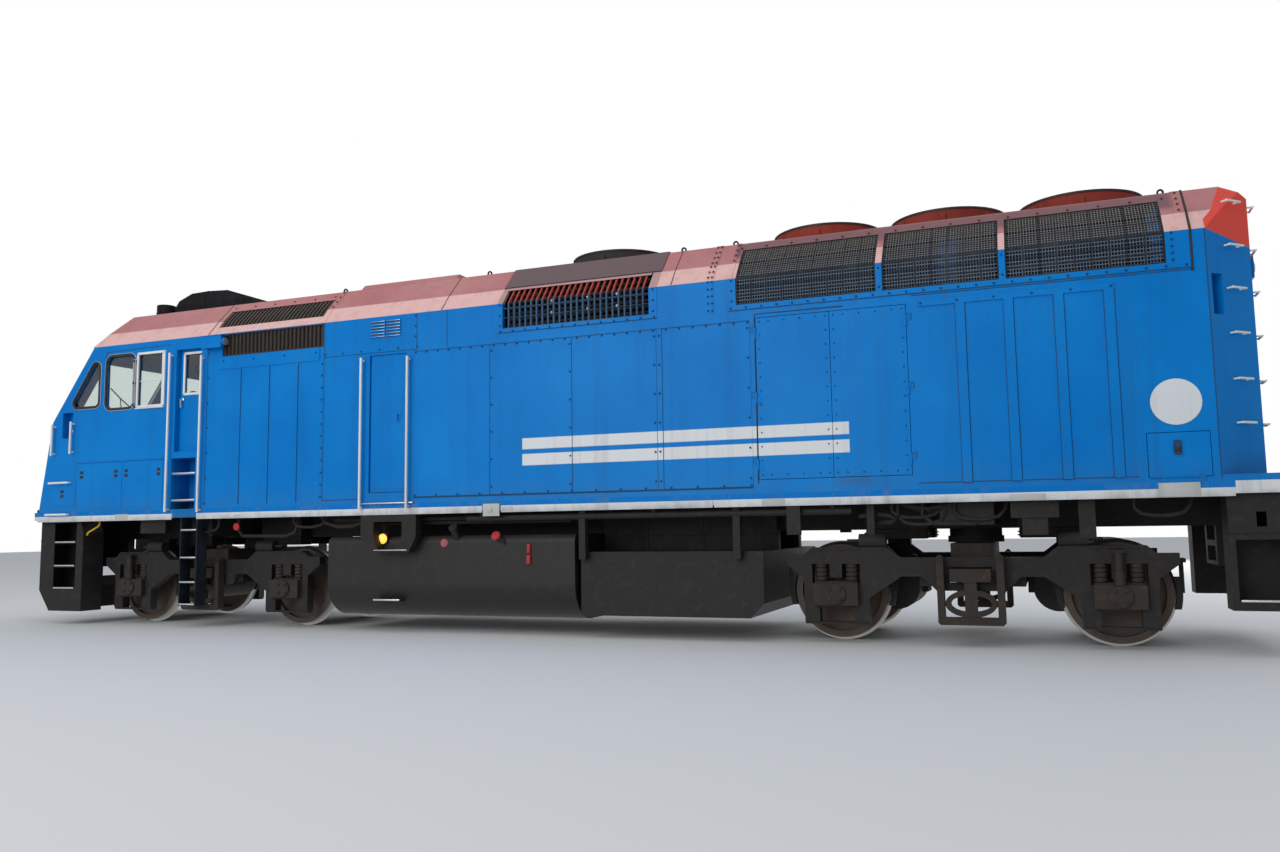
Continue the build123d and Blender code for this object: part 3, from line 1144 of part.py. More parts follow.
def fan_guard(x):
    """The wire guard with its flat rim on top of a fan's shroud."""
    g = GUARD
    z0, z1 = SHROUD_TOP + SEAT, GUARD_TOP
    guard = ring(x, SHROUD_RADIUS + g["lip"], SHROUD_RADIUS - g["rim"], z0, z1)
    low = z1 - g["wire"]
    reach = SHROUD_RADIUS - g["rim"] / 2
    for turn in range(g["spokes"]):
        spoke = Rot(0, 0, 180 * turn / g["spokes"]) * Box(2 * reach, g["wire"], g["wire"])
        guard += Pos(x, 0, (low + z1) / 2) * spoke
    for radius in g["rings"]:
        guard += ring(x, radius, radius - g["wire"], low, z1)
    return guard


def fan_rotor(x):
    """A fan wheel with its hub and blades."""
    b = BLADES
    middle = FAN_HUB_LOW + FAN_HEIGHT / 2
    rotor = rod((x, 0, FAN_HUB_LOW), (x, 0, FAN_HUB_LOW + FAN_HEIGHT), FAN_HUB)
    root = FAN_HUB - b["root"]
    for turn in range(b["count"]):
        vane = Box(FAN_RADIUS - root, b["width"], b["thick"])
        blade = Pos((FAN_RADIUS + root) / 2, 0, 0) * Rot(b["pitch"], 0, 0) * vane
        rotor += Pos(x, 0, middle) * Rot(0, 0, 360 * turn / b["count"]) * blade
    top = FAN_HUB_LOW + FAN_HEIGHT * 0.8 + PIN_GAP
    return rotor - rod((x, 0, FAN_HUB_LOW - 1), (x, 0, top), FAN_PIN + PIN_GAP)


def air_conditioner_hood():
    """The long low hood with sloping ends and bevelled sides on the cab roof."""
    h = HOOD
    base = ROOF_EDGE_Z
    side = [(HOOD_OUTLINE[0]["x"], base)] + [(p["x"], p["z"]) for p in HOOD_OUTLINE] + [(HOOD_OUTLINE[-1]["x"], base)]
    section = [(h["half"], base), (h["half"], h["top"] - h["bevel_z"]), (h["half"] - h["bevel_y"], h["top"])]
    x0, x1 = HOOD_OUTLINE[0]["x"] - 1, HOOD_OUTLINE[-1]["x"] + 1
    hood = side_prism(side, -h["half"], h["half"]) & cross_prism(mirrored_outline(section), x0, x1)
    return hood - roof_prism(-SEAT, x0, x1)


def roof_hatches():
    """The raised hatch over the engine with the exhaust stacks."""
    h, s = HATCH, STACK
    section = [(h["half"], ROOF_EDGE_Z), (h["half"], h["top"] - h["slope"]), (h["half"] - h["slope"], h["top"])]
    hatch = cross_prism(mirrored_outline(section), h["x0"], h["x1"]) - roof_prism(-SEAT, h["x0"], h["x1"])
    for x in s["xs"]:
        hatch += block(x - s["half_x"], x + s["half_x"], -s["half_y"], s["half_y"], h["top"] - 1, s["top"])
        wide, long = s["half_x"] - s["wall"], s["half_y"] - s["wall"]
        hatch -= block(x - wide, x + wide, -long, long, h["top"] - 1, s["top"] + 1)
    return hatch


def roof_fittings():
    """The beacon drum on its foot and the lifting eyes."""
    h, e = HORN, EYES
    drum = rod((h["x"], h["y"], ROOF_EDGE_Z + SEAT), (h["x"], h["y"], h["top"]), h["radius"])
    fittings = drum - roof_prism(-SEAT, HIP_X - 2 * h["radius"], HIP_X + h["radius"])
    for x in e["xs"]:
        y = e["y"]
        z = roof_top_z(y) + e["radius"] * 1.4
        half = e["thick"] / 2
        eye = block(x - e["radius"], x + e["radius"], y - half, y + half, z - 2 * e["radius"], z)
        eye += rod((x, y - half, z), (x, y + half, z), e["radius"])
        eye -= rod((x, y - half - 1, z), (x, y + half + 1, z), e["hole"])
        fittings += both(eye - roof_prism(-SEAT, x - e["radius"] * 2, x + e["radius"] * 2))
    return fittings


# Front and rear ends below the deck
def end_plate(low, knee, lean):
    """The upright plate across the front end, bent back below its knee, with the coupler's gap."""
    gap = POCKET["y1"] + SEAT
    x, sheet = PILOT_X, PILOT_SHEET
    top = SILL_BOTTOM - SEAT
    outline = [
        (x, top), (x, knee), (x - lean, low),
        (x - lean - sheet, low), (x - sheet, knee + sheet / 3), (x - sheet, top),
    ]
    plate = side_prism(outline, -PILOT_Y, PILOT_Y)
    return plate - block(x - lean - 2 * sheet, x + 1, -gap, gap, PILOT_GAP_Z, SILL_BOTTOM)


def lift_bar():
    """The lever by hand that lifts the coupler's pin, in its two brackets."""
    b = LIFT_BAR
    x = PILOT_X + b["out"]
    bar = rod((x, b["inner_y"], b["z"]), (x, b["y"], b["z"]), b["radius"])
    bar += rod((x, b["y"] - b["radius"], b["z"]), (x, b["y"] - b["radius"], b["z"] - b["handle"]), b["radius"])
    for y in (b["inner_y"] + 2 * b["radius"], b["y"] - 4 * b["radius"]):
        half = b["radius"] / 2
        bar += block(PILOT_X - 1, x + 2 * half, y - half, y + half, b["z"] - 2 * half, b["z"] + 4 * half)
    return bar


def front_pilot():
    """The front end below the deck: a bent plate and on each side a box with three treads."""
    f = FRONT_STEPS
    top = SILL_BOTTOM - SEAT
    x = PILOT_X - PILOT_SHEET
    side = [
        (f["back"] + f["top_cut"], top), (x, top), (x, f["knee"]), (x - f["lean"], f["low"]),
        (f["back"], f["low"]), (f["back"], f["top_z"]),
    ]
    cheek = side_prism(side, PILOT_Y - STEP_SHEET, PILOT_Y)
    cheek -= block(f["w0"], f["w1"], PILOT_Y - STEP_SHEET - 1, PILOT_Y + 1, FRONT_TREADS[0], f["w_top"])
    cheek += side_prism(side, STEP_IN_Y, STEP_IN_Y + STEP_SHEET)
    cheek += block(f["back"], f["back"] + STEP_SHEET, STEP_IN_Y, PILOT_Y, f["low"], f["top_z"])
    for z in FRONT_TREADS:
        cheek += block(f["back"] + 1, f["w1"] + STEP_SHEET, STEP_IN_Y + 1, PILOT_Y - 1, z, z + TREAD)
    plate = end_plate(f["low"], f["knee"], f["lean"])
    return plate + both(cheek + lift_bar())


def rear_pilot():
    """The rear end below the deck: a flat plate and on each side a skirt with a tread and a toe hole."""
    r, hole = REAR_STEPS, REAR_RECESS
    top = SILL_BOTTOM - SEAT
    x = PILOT_X - PILOT_SHEET
    plate = end_plate(r["low"], r["low"] + PILOT_SHEET, 0)
    cheek = block(r["back"], x + 1, PILOT_Y - STEP_SHEET, PILOT_Y, r["low"], top)
    cheek += block(r["back"], x + 1, PILOT_Y - 1, PILOT_Y + r["proud"], r["ledge"], top)
    cheek -= block(r["w0"], r["w1"], PILOT_Y - STEP_SHEET - 1, PILOT_Y + 1, r["tread"], r["w_top"])
    cheek += block(r["back"], x + 1, STEP_IN_Y, STEP_IN_Y + STEP_SHEET, r["low"], top)
    cheek += block(r["back"], r["back"] + STEP_SHEET, STEP_IN_Y, PILOT_Y, r["low"], top)
    cheek += block(r["back"], x + 1, STEP_IN_Y, PILOT_Y, r["tread"] - TREAD, r["tread"])
    cheek += block(r["w0"], r["w1"], STEP_IN_Y, PILOT_Y, r["w_top"], r["w_top"] + TREAD)
    cheek -= block(hole["x0"], hole["x1"], PILOT_Y - STEP_SHEET - 1, PILOT_Y + r["proud"] + 1, hole["z0"], hole["z1"])
    return other_end(plate + both(cheek + lift_bar()))


def coupler(side):
    """An automatic coupler: shank with its pivot boss, head and knuckle."""
    outline = [(HALF_LENGTH - p["back"], p["y"]) for p in COUPLER_HEAD]
    shape = plan_prism(outline, COUPLER_Z - HEAD_HALF, COUPLER_Z + HEAD_HALF)
    low, high = COUPLER_Z - COUPLER_HALF, COUPLER_Z + COUPLER_HALF
    neck = HALF_LENGTH - COUPLER_HEAD[0]["back"] + SHANK_HALF
    shape += block(COUPLER_PIVOT, neck, -SHANK_HALF, SHANK_HALF, low, high)
    shape += rod((COUPLER_PIVOT, 0, low), (COUPLER_PIVOT, 0, high), COUPLER_BOSS)
    shape -= rod((COUPLER_PIVOT, 0, low - 1), (COUPLER_PIVOT, 0, high + 1), COUPLER_PIN + PIN_GAP)
    return shape if side > 0 else other_end(shape)


# Underfloor gear
def tank_body(grow):
    """The tank alone with its rounded bottom, larger all round by grow."""
    t = TANK
    half = t["half"] + grow
    low, high = t["z0"] - grow, t["z1"] + min(grow, SEAT / 2)
    outline = [(half, low), (half, high), (-half, high), (-half, low)]
    section = make_face(Polyline(*outline, close=True))
    corners = section.vertices().sort_by(Axis.Y)
    section = fillet(corners[:2], t["bend"])
    corners = section.vertices().sort_by(Axis.Y)
    section = fillet(corners[-2:], t["shoulder"])
    plane = Plane(origin=(t["x0"], 0, 0), x_dir=(0, 1, 0), z_dir=(1, 0, 0))
    return extrude(plane * section, amount=t["x1"] - t["x0"])


def fuel_tank():
    """The round-bottomed tank with a tread and a filler neck fitted on each side."""
    t, s, n = TANK, TANK_STEP, FILLER_NECK
    half = t["half"]
    tread = block(s["x0"], s["x1"], half - t["bend"] / 2, half + s["out"], s["z0"], s["z1"])
    neck = rod((n["x"], n["y0"], n["z0"]), (n["x"], n["y1"], n["z1"]), n["radius"])
    run = Vector(0, n["y1"] - n["y0"], n["z1"] - n["z0"]).normalized()
    cap_end = Vector(n["x"], n["y1"], n["z1"]) + run * n["cap"]
    neck += rod((n["x"], n["y1"], n["z1"]), tuple(cap_end), n["radius"] * 1.3)
    return tank_body(0) + both((tread + neck) - tank_body(SEAT))


def equipment_box():
    """The flat-sided box behind the tank with a cut lower rear edge."""
    b = BOX
    side = [
        (b["x0"], b["z1"]), (b["x0"], b["z0"] + b["cut"]), (b["x0"] + b["cut"], b["z0"]),
        (b["x1"], b["z0"]), (b["x1"], b["z1"]),
    ]
    return side_prism(side, -b["half"], b["half"])


def underfloor_piping():
    """Hanger bars, air pipe, boxes and plates under the side sills."""
    p, h = AIR_PIPE, BOX_HANGER
    top = SILL_BOTTOM - SEAT
    gear = Part()
    for x in h["xs"]:
        gear += block(x - h["half"], x + h["half"], BOX["half"] + SEAT, h["y1"], h["z0"], top)
    gear += rod((p["x0"], p["y"], p["z"]), (p["x1"], p["y"], p["z"]), p["radius"])
    for x in p["clips"]:
        half = p["clip"] / 2
        gear += block(x - half, x + half, p["y"] - half, p["y"] + half, p["z"], top)
    for b in SILL_BOXES:
        gear += block(b["x0"], b["x1"], b["y0"], b["y1"], b["z0"], top)
    return both(gear)


def side_step_bracket():
    """The open bracket with a tread under the left engine-room door."""
    b, hole = BRACKET, BRACKET_HOLE
    top = SILL_BOTTOM - SEAT
    outline = [
        (b["x0"], top), (b["x1"], top), (b["x1"], b["knee"]), (b["foot_x1"], b["foot"]),
        (b["foot_x0"], b["foot"]), (b["x0"], b["knee"]),
    ]
    cut = [
        (hole["x0"], hole["top"]), (hole["x1"], hole["top"]), (hole["x1"], hole["knee"]),
        (hole["foot_x1"], hole["foot"]), (hole["foot_x0"], hole["foot"]), (hole["x0"], hole["knee"]),
    ]
    return side_prism(outline, b["y0"], SIDE_Y) - side_prism(cut, b["y0"] - 1, SIDE_Y + 1)


# Handrails and grab irons
def upright_rail(x, z0, z1):
    """An upright rail held off the side at both ends."""
    r = RAIL
    y = SIDE_Y + r["stand"]
    bar = rod((x, y, z0), (x, y, z1), r["radius"])
    for z in (z0 + r["inset"], z1 - r["inset"]):
        bar += rod((x, SIDE_Y + SEAT, z), (x, y, z), r["leg"])
    return bar


def level_rail(z, x0, x1, foot):
    """A level rail held off the nose's side at both ends, its legs standing on a plate foot thick."""
    r = RAIL
    y = SIDE_Y + r["stand"]
    bar = rod((x0, y, z), (x1, y, z), r["radius"])
    for x in (x0 + r["inset"], x1 - r["inset"]):
        bar += rod((x, SIDE_Y + foot + SEAT, z), (x, y, z), r["leg"])
    return bar


def grab_irons():
    """The ladder of grab irons up the bevelled rear corner and on the end wall beside it."""
    g, e = GRAB, END_GRAB
    irons = Part()
    for z in g["zs"]:
        a0, a1, d = g["a0"], g["a1"], g["stand"]
        irons += rod(bevel_point(a0, d, z), bevel_point(a1, d, z), g["radius"])
        for a in (a0 + g["radius"], a1 - g["radius"]):
            irons += rod(bevel_point(a, SEAT, z), bevel_point(a, d, z), g["leg"])
        x = END_X - d
        irons += rod((x, e["y0"], z), (x, e["y1"], z), g["radius"])
        for y in (e["y0"] + g["radius"], e["y1"] - g["radius"]):
            irons += rod((END_X - SEAT, y, z), (x, y, z), g["leg"])
    return irons


def handrails():
    """The white rails beside the doors and on the nose, and the rear grab irons."""
    rails = grab_irons()
    for r in UPRIGHT_RAILS:
        rails += upright_rail(r["x"], r["z0"], r["z1"])
    for r in LEVEL_RAILS:
        rails += level_rail(r["z"], r["x0"], r["x1"], r["foot"])
    return both(rails)


# Inside the cab and the engine room
def cab_fittings():
    """Control desks with sloping tops and the frames of the two seats."""
    s = SEATS
    fittings = Part()
    for d in DESKS:
        side = [
            (d["x0"], CAB_FLOOR_Z), (d["x1"], CAB_FLOOR_Z), (d["x1"], d["z1"]),
            (d["x0"] + DESK_SLOPE, d["z1"]), (d["x0"], d["z1"] - DESK_SLOPE),
        ]
        fittings += side_prism(side, d["y0"], d["y1"])
    for y in (-s["y"], s["y"]):
        fittings += rod((s["x"], y, CAB_FLOOR_Z), (s["x"], y, s["pan_z"]), s["post"])
        x0, x1 = s["x"] - s["back_half"], s["x"] + s["half"]
        fittings += block(x0, x1, y - s["half"], y + s["half"], s["pan_z"] - s["pan"], s["pan_z"])
    return fittings


def seat_cushions():
    """Seat and back cushions of the two seats, with rounded edges."""
    s = SEATS
    pads = Part()
    low = s["pan_z"] + SEAT
    for y in (-s["y"], s["y"]):
        y0, y1 = y - s["half"], y + s["half"]
        front = s["x"] - s["back_half"] + s["back"]
        seat = block(front + SEAT, s["x"] + s["half"], y0, y1, low, low + s["pad"])
        back = block(front - s["back"], front, y0, y1, low, s["back_top"])
        pads += fillet(seat.edges(), s["soft"]) + fillet(back.edges(), s["soft"])
    return pads


def engine_block():
    """The diesel engine and its generator as one plain mass on the deck."""
    e = ENGINE
    return block(e["x0"], e["x1"], -e["half"], e["half"], SILL_TOP + SEAT, e["z1"])


def radiator_cores():
    """The radiator cores that lie under the fans."""
    half = SIDE_Y - WALL - SEAT
    x0, x1 = GRILLES[-1]["x0"] + WALL, GRILLES[0]["x1"] - WALL
    return block(x0, x1, -half, half, RADIATOR_CORE["z0"], RADIATOR_CORE["z1"])


# Lamps
def brow_point(y, up, proud):
    """A point at a distance up the brow from the eave and proud of its face."""
    slope = Vector(HIP_X - BROW_X, 0, ROOF_EDGE_Z - EAVE_Z).normalized()
    normal = Vector(0, 1, 0).cross(slope)
    return tuple(Vector(BROW_X, y, EAVE_Z) + slope * up + normal * proud)


def nose_point(y, z, proud):
    """A point on the sloping front of the nose at a height, proud of its face."""
    slope = Vector(NOSE_KNEE_X - NOSE_FOOT_X, 0, NOSE_KNEE_Z - SILL_TOP)
    normal = Vector(0, 1, 0).cross(slope.normalized())
    foot = Vector(NOSE_FOOT_X, y, SILL_TOP) + slope * ((z - SILL_TOP) / (NOSE_KNEE_Z - SILL_TOP))
    return tuple(foot + normal * proud)


def headlights():
    """Twin headlights on the brow in a housing, the nose lamp and the ditch lamps by the coupler."""
    h, n, d = HEADLAMP, NOSE_LAMP, DITCH_LAMP
    lamps = Part()
    for y in (-h["y"], h["y"]):
        lamps += rod(brow_point(y, h["up"], SEAT), brow_point(y, h["up"], h["proud"]), h["radius"] + h["rim"])
        glass = brow_point(y, h["up"], h["proud"] - h["rim"] / 3)
        lamps -= rod(glass, brow_point(y, h["up"], h["proud"] + 1), h["radius"])
    nose = rod(nose_point(0, n["z"], SEAT), nose_point(0, n["z"], n["proud"]), n["radius"] + h["rim"])
    nose -= rod(nose_point(0, n["z"], n["proud"] - h["rim"] / 3), nose_point(0, n["z"], n["proud"] + 1), n["radius"])
    ditch = rod(nose_point(d["y"], d["z"], SEAT), nose_point(d["y"], d["z"], d["deep"]), d["radius"])
    return lamps + nose + both(ditch)


def at_truck(maker, side):
    """A truck part moved to the front truck, or mirrored and moved to the rear truck."""
    shape = Pos(TRUCK_X, 0, 0) * maker()
    return shape if side > 0 else other_end(shape)


def at_fans(maker):
    """The same part at each radiator fan and at the brake fan."""
    shapes = Part()
    for x in FAN_XS + [BRAKE_FAN_X]:
        shapes += maker(x)
    return shapes


def make_nodes():
    """Every node's name with its shape."""
    nodes = {
        "underframe": underframe(),
        "side_sills": side_sills(),
        "centre_sills": centre_sills(),
        "cab_shell": cab_shell(),
        "cab_side_left": cab_side(),
        "cab_side_right": other_side(cab_side()),
        "cab_roof": cab_roof(),
        "carbody_walls": carbody_walls(),
        "carbody_roof": carbody_roof(),
        "cab_glass": cab_glass(),
        "cab_fittings": cab_fittings(),
        "seat_cushions": seat_cushions(),
        "engine_block": engine_block(),
        "radiator_cores": radiator_cores(),
        "radiator_grilles": radiator_grilles(),
        "brake_grid_bars": brake_grid_bars(),
        "intake_louvres": intake_louvres(),
        "fan_shrouds": at_fans(fan_shroud),
        "fan_guards": at_fans(fan_guard),
        "air_conditioner_hood": air_conditioner_hood(),
        "roof_fittings": roof_fittings(),
        "roof_hatches": roof_hatches(),
        "handrails": handrails(),
        "cab_steps": cab_steps(),
        "front_pilot": front_pilot(),
        "rear_pilot": rear_pilot(),
        "side_step_brackets": both(side_step_bracket()),
        "fuel_tank": fuel_tank(),
        "equipment_box": equipment_box(),
        "underfloor_piping": underfloor_piping(),
        "headlights": headlights(),
        "coupler_front": coupler(1),
        "coupler_rear": coupler(-1),
        "rear_door": rear_door(),
    }
    for name, side in (("front", 1), ("rear", -1)):
        nodes[f"truck_{name}_frame"] = at_truck(truck_frame, side)
        nodes[f"truck_{name}_suspension"] = at_truck(truck_suspension, side)
        nodes[f"truck_{name}_motors"] = at_truck(truck_motors, side)
    axle_xs = [TRUCK_X + HALF_WHEELBASE, TRUCK_X - HALF_WHEELBASE]
    axle_xs += [-x for x in reversed(axle_xs)]
    for number, x in enumerate(axle_xs, start=1):
        nodes[f"wheelset_{number}"] = wheelset(x)
    doors = {
        "cab_door": cab_door(),
        "cab_door_glass": cab_door_glass(),
        "engine_door": engine_door(),
        "cooler_door_front": cooler_leaf(True),
        "cooler_door_rear": cooler_leaf(False),
        "locker_flap": locker_flap(),
    }
    for name, shape in doors.items():
        nodes[f"{name}_left"] = shape
        nodes[f"{name}_right"] = other_side(shape)
    for number, x in enumerate(FAN_XS, start=1):
        nodes[f"radiator_fan_{number}"] = fan_rotor(x)
    nodes["brake_fan"] = fan_rotor(BRAKE_FAN_X)
    return nodes


os.makedirs("parts", exist_ok=True)
for node_name, node_shape in make_nodes().items():
    export_step(node_shape, f"parts/{node_name}.step")
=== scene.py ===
import math

import bmesh
import bpy
from mathutils import Matrix, Vector


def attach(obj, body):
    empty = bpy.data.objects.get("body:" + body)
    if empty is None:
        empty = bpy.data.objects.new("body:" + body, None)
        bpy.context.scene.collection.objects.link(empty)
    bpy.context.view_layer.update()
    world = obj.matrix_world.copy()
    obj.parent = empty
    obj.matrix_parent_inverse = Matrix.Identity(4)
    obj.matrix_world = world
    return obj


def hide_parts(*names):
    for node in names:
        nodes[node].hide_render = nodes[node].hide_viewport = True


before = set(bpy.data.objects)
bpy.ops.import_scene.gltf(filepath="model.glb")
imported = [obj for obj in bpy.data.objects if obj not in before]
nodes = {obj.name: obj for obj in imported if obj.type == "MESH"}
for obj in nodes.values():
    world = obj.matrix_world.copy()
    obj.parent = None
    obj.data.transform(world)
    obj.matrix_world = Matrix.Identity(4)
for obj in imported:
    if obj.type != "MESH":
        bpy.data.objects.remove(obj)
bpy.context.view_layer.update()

# Stage and light
# A pale plain floor at the height of the wheel flanges, with a soft overhead studio light and a gentle
# key from the camera's side. The lamps are level, so a colour shows about as it is written.
STAGE_GREY = "#DCDDDE"


def linear(hex_colour):
    """A colour written in sRGB hex as the linear values that shaders take."""
    values = [int(hex_colour[i:i + 2], 16) / 255 for i in (1, 3, 5)]
    return [v / 12.92 if v <= 0.04045 else ((v + 0.055) / 1.055) ** 2.4 for v in values] + [1.0]


def feed(node, **links):
    """Links or sets inputs by name or number. A node stands for its first output, hex for a colour, __ for a space."""
    for name, value in links.items():
        socket = node.inputs[int(name[1:]) if name[0] == "i" and name[1:].isdigit() else name.replace("__", " ")]
        if isinstance(value, bpy.types.Node):
            value = value.outputs[0]
        if isinstance(value, bpy.types.NodeSocket):
            node.id_data.links.new(value, socket)
        else:
            socket.default_value = linear(value) if isinstance(value, str) else value


def add_node(tree, kind, settings=None, **links):
    """Adds a shader node with its settings and feeds its inputs."""
    node = tree.nodes.new("ShaderNode" + kind)
    for name, value in (settings or {}).items():
        setattr(node, name, value)
    feed(node, **links)
    return node


def calc(operation, value, *others):
    """A sum on node values."""
    inputs = {f"i{number}": other for number, other in enumerate(others, 1)}
    return add_node(value.id_data, "Math", {"operation": operation}, i0=value, **inputs).outputs[0]


def new_finish(name):
    """An empty material with its tree, shader and object coordinates."""
    material = bpy.data.materials.new(name)
    material.use_nodes = True
    tree = material.node_tree
    return material, tree, tree.nodes["Principled BSDF"], add_node(tree, "TexCoord").outputs["Object"]


def clear():
    """Leaves edit mode and selects nothing, so that an operator touches only what comes next."""
    if bpy.context.object and bpy.context.object.mode != "OBJECT":
        bpy.ops.object.mode_set(mode="OBJECT")
    bpy.ops.object.select_all(action="DESELECT")


clear()
bpy.ops.mesh.primitive_plane_add(size=160, location=(0, 0, -0.001))
floor = bpy.context.object
floor.name = "studio_floor"

stage_paint, tree, shader, where = new_finish("studio_floor_paint")
feed(shader, Roughness=0.85, Base__Color=STAGE_GREY)
path = add_node(tree, "LightPath")
seen = calc("MAXIMUM", path.outputs["Is Glossy Ray"], path.outputs["Is Transmission Ray"])
glow = add_node(tree, "Emission", Color=STAGE_GREY, Strength=0.8)
feed(tree.nodes["Material Output"], Surface=add_node(tree, "MixShader", Fac=seen, i1=shader, i2=glow))
floor.data.materials.append(stage_paint)

world = bpy.data.worlds.new("studio_air")
bpy.context.scene.world = world
world.use_nodes = True
air = world.node_tree
dim = air.nodes["Background"]
feed(dim, Color="#E9EDF2", Strength=0.62)
path = add_node(air, "LightPath")
seen = calc("MAXIMUM", path.outputs["Is Camera Ray"], path.outputs["Is Transmission Ray"])
bright = add_node(air, "Background", Color="#FFFFFF", Strength=1.0)
feed(air.nodes["World Output"], Surface=add_node(air, "MixShader", Fac=seen, i1=dim, i2=bright))

LIGHT_AIM = Vector((0, 0, 2))
for name, place, size, power in (("studio_overhead", (0, 6, 16), 18, 500), ("studio_key", (6, 24, 9), 14, 2300),
                                 ("studio_fill", (-8, -24, 9), 14, 1700)):
    light = bpy.data.lights.new(name, "AREA")
    light.size = size
    light.energy = power
    lamp = bpy.data.objects.new(name, light)
    lamp.location = place
    lamp.rotation_euler = (LIGHT_AIM - Vector(place)).to_track_quat("-Z", "Y").to_euler()
    bpy.context.scene.collection.objects.link(lamp)

# Camera
# Placed where the photograph was taken from: left of the rear truck's line and a step above the rail,
# looking forward and a little up, with a slight roll.
CAMERA_PLACE = Vector((-5.77286, 12.05858, 1.23165))
CAMERA_YAW, CAMERA_PITCH, CAMERA_ROLL = math.radians(21.660), math.radians(5.813), math.radians(-0.826)
CAMERA_LENS = 28.546

forward = Vector((math.sin(CAMERA_YAW) * math.cos(CAMERA_PITCH), -math.cos(CAMERA_YAW) * math.cos(CAMERA_PITCH),
                  math.sin(CAMERA_PITCH)))
level_right = forward.cross(Vector((0, 0, 1))).normalized()
level_up = level_right.cross(forward)
right = level_right * math.cos(CAMERA_ROLL) + level_up * math.sin(CAMERA_ROLL)
up = level_up * math.cos(CAMERA_ROLL) - level_right * math.sin(CAMERA_ROLL)
camera = bpy.data.objects.new("camera", bpy.data.cameras.new("camera"))
bpy.context.scene.collection.objects.link(camera)
camera.data.sensor_width = 36
camera.data.lens = CAMERA_LENS
camera.data.clip_end = 500
camera.matrix_world = Matrix.Translation(CAMERA_PLACE) @ Matrix((right, up, -forward)).transposed().to_4x4()
bpy.context.scene.camera = camera
bpy.context.scene.view_settings.view_transform = "Standard"


# Running gear and frame
# Cast and welded steel under black chassis paint, which brake dust turns brown: it lies thick on what faces
# up, and rust comes through in blotches. The wheels are rolled steel, bright only where they run.
CHASSIS_BLACK, BRAKE_DUST, RUST_BROWN = "#17181A", "#4A423A", "#3A2A22"
WHEEL_DARK, WHEEL_GRIME, WHEEL_BRIGHT = "#37322E", "#5C4A3C", "#A6A5A2"
TRUCK_X, AXLE_X, AXLE_Z = 5.029, 1.3715, 0.536


def noise(where, scale, detail, rough=0.5):
    """A cloudy noise."""
    return add_node(where.id_data, "TexNoise", Vector=where, Scale=scale, Detail=detail, Roughness=rough).outputs[0]


def ranged(value, low=0, high=1, start=0, end=1):
    """A value's run from low to high as a run from start to end."""
    return add_node(value.id_data, "MapRange", Value=value, i1=low, i2=high, i3=start, i4=end).outputs[0]


def mixed(share, under, over):
    """A share of one colour over another."""
    return add_node(share.id_data, "Mix", {"data_type": "RGBA"}, i0=share, i6=under, i7=over).outputs[2]


def bumpy(height, strength, distance=0.002):
    """A surface's small ups and downs."""
    return add_node(height.id_data, "Bump", Height=height, Strength=strength, Distance=distance)


def grimy(name, base, dust, rust, rough, dust_share=0.75):
    """Old paint on cast steel: rust blotches a hand wide, dust on upward faces and gritty grain 8 mm wide."""
    material, tree, shader, where = new_finish(name)
    rusty = mixed(ranged(noise(where, 9.0, 8.0, 0.65), 0.52, 0.72, 0.0, 0.7), base, rust)
    normal = add_node(tree, "SeparateXYZ", Vector=add_node(tree, "NewGeometry").outputs["Normal"])
    drift = ranged(noise(where, 3.0, 5.0, 0.6), 0.3, 0.7, 0.3, dust_share)
    dusty = calc("MULTIPLY", ranged(normal.outputs[2], 0.1, 0.9, 0.18, 1.0), drift)
    grit = noise(where, 120.0, 6.0, 0.7)
    feed(shader, Specular__IOR__Level=0.3, Base__Color=mixed(dusty, rusty, dust),
         Roughness=ranged(grit, 0.2, 0.8, rough - 0.12, rough + 0.15), Normal=bumpy(grit, 0.35))
    return material


def dress(node_names, material, slot=None):
    """Gives CAD nodes one finish all over, and notes the slot that it belongs to."""
    for node_name in node_names:
        mesh = nodes[node_name].data
        mesh.materials.clear()
        mesh.materials.append(material)
    if slot:
        material["slot"] = slot


chassis_paint = grimy("black_chassis_enamel_with_brake_dust", CHASSIS_BLACK, BRAKE_DUST, RUST_BROWN, 0.62)
dress(["underframe", "centre_sills", "engine_block", "equipment_box", "underfloor_piping", "side_step_brackets",
       "front_pilot", "rear_pilot"], chassis_paint, "chassis_black")
dress(["truck_front_frame", "truck_rear_frame", "truck_front_motors", "truck_rear_motors"], chassis_paint)
tank_paint = grimy("sooty_tank_enamel", "#1F1E1E", "#4F4A44", "#332A25", 0.5, 0.5)
dress(["fuel_tank"], tank_paint)
spring_steel = grimy("rusted_spring_steel", "#262220", "#5A4F44", "#4C3325", 0.7)
dress(["truck_front_suspension", "truck_rear_suspension"], spring_steel, "cast_steel")
coupler_steel = grimy("cast_coupler_steel", "#302924", "#5E5145", "#5C3D2B", 0.68)
dress(["coupler_front", "coupler_rear"], coupler_steel)

wheel_steel, tree, shader, where = new_finish("rolled_wheel_steel")
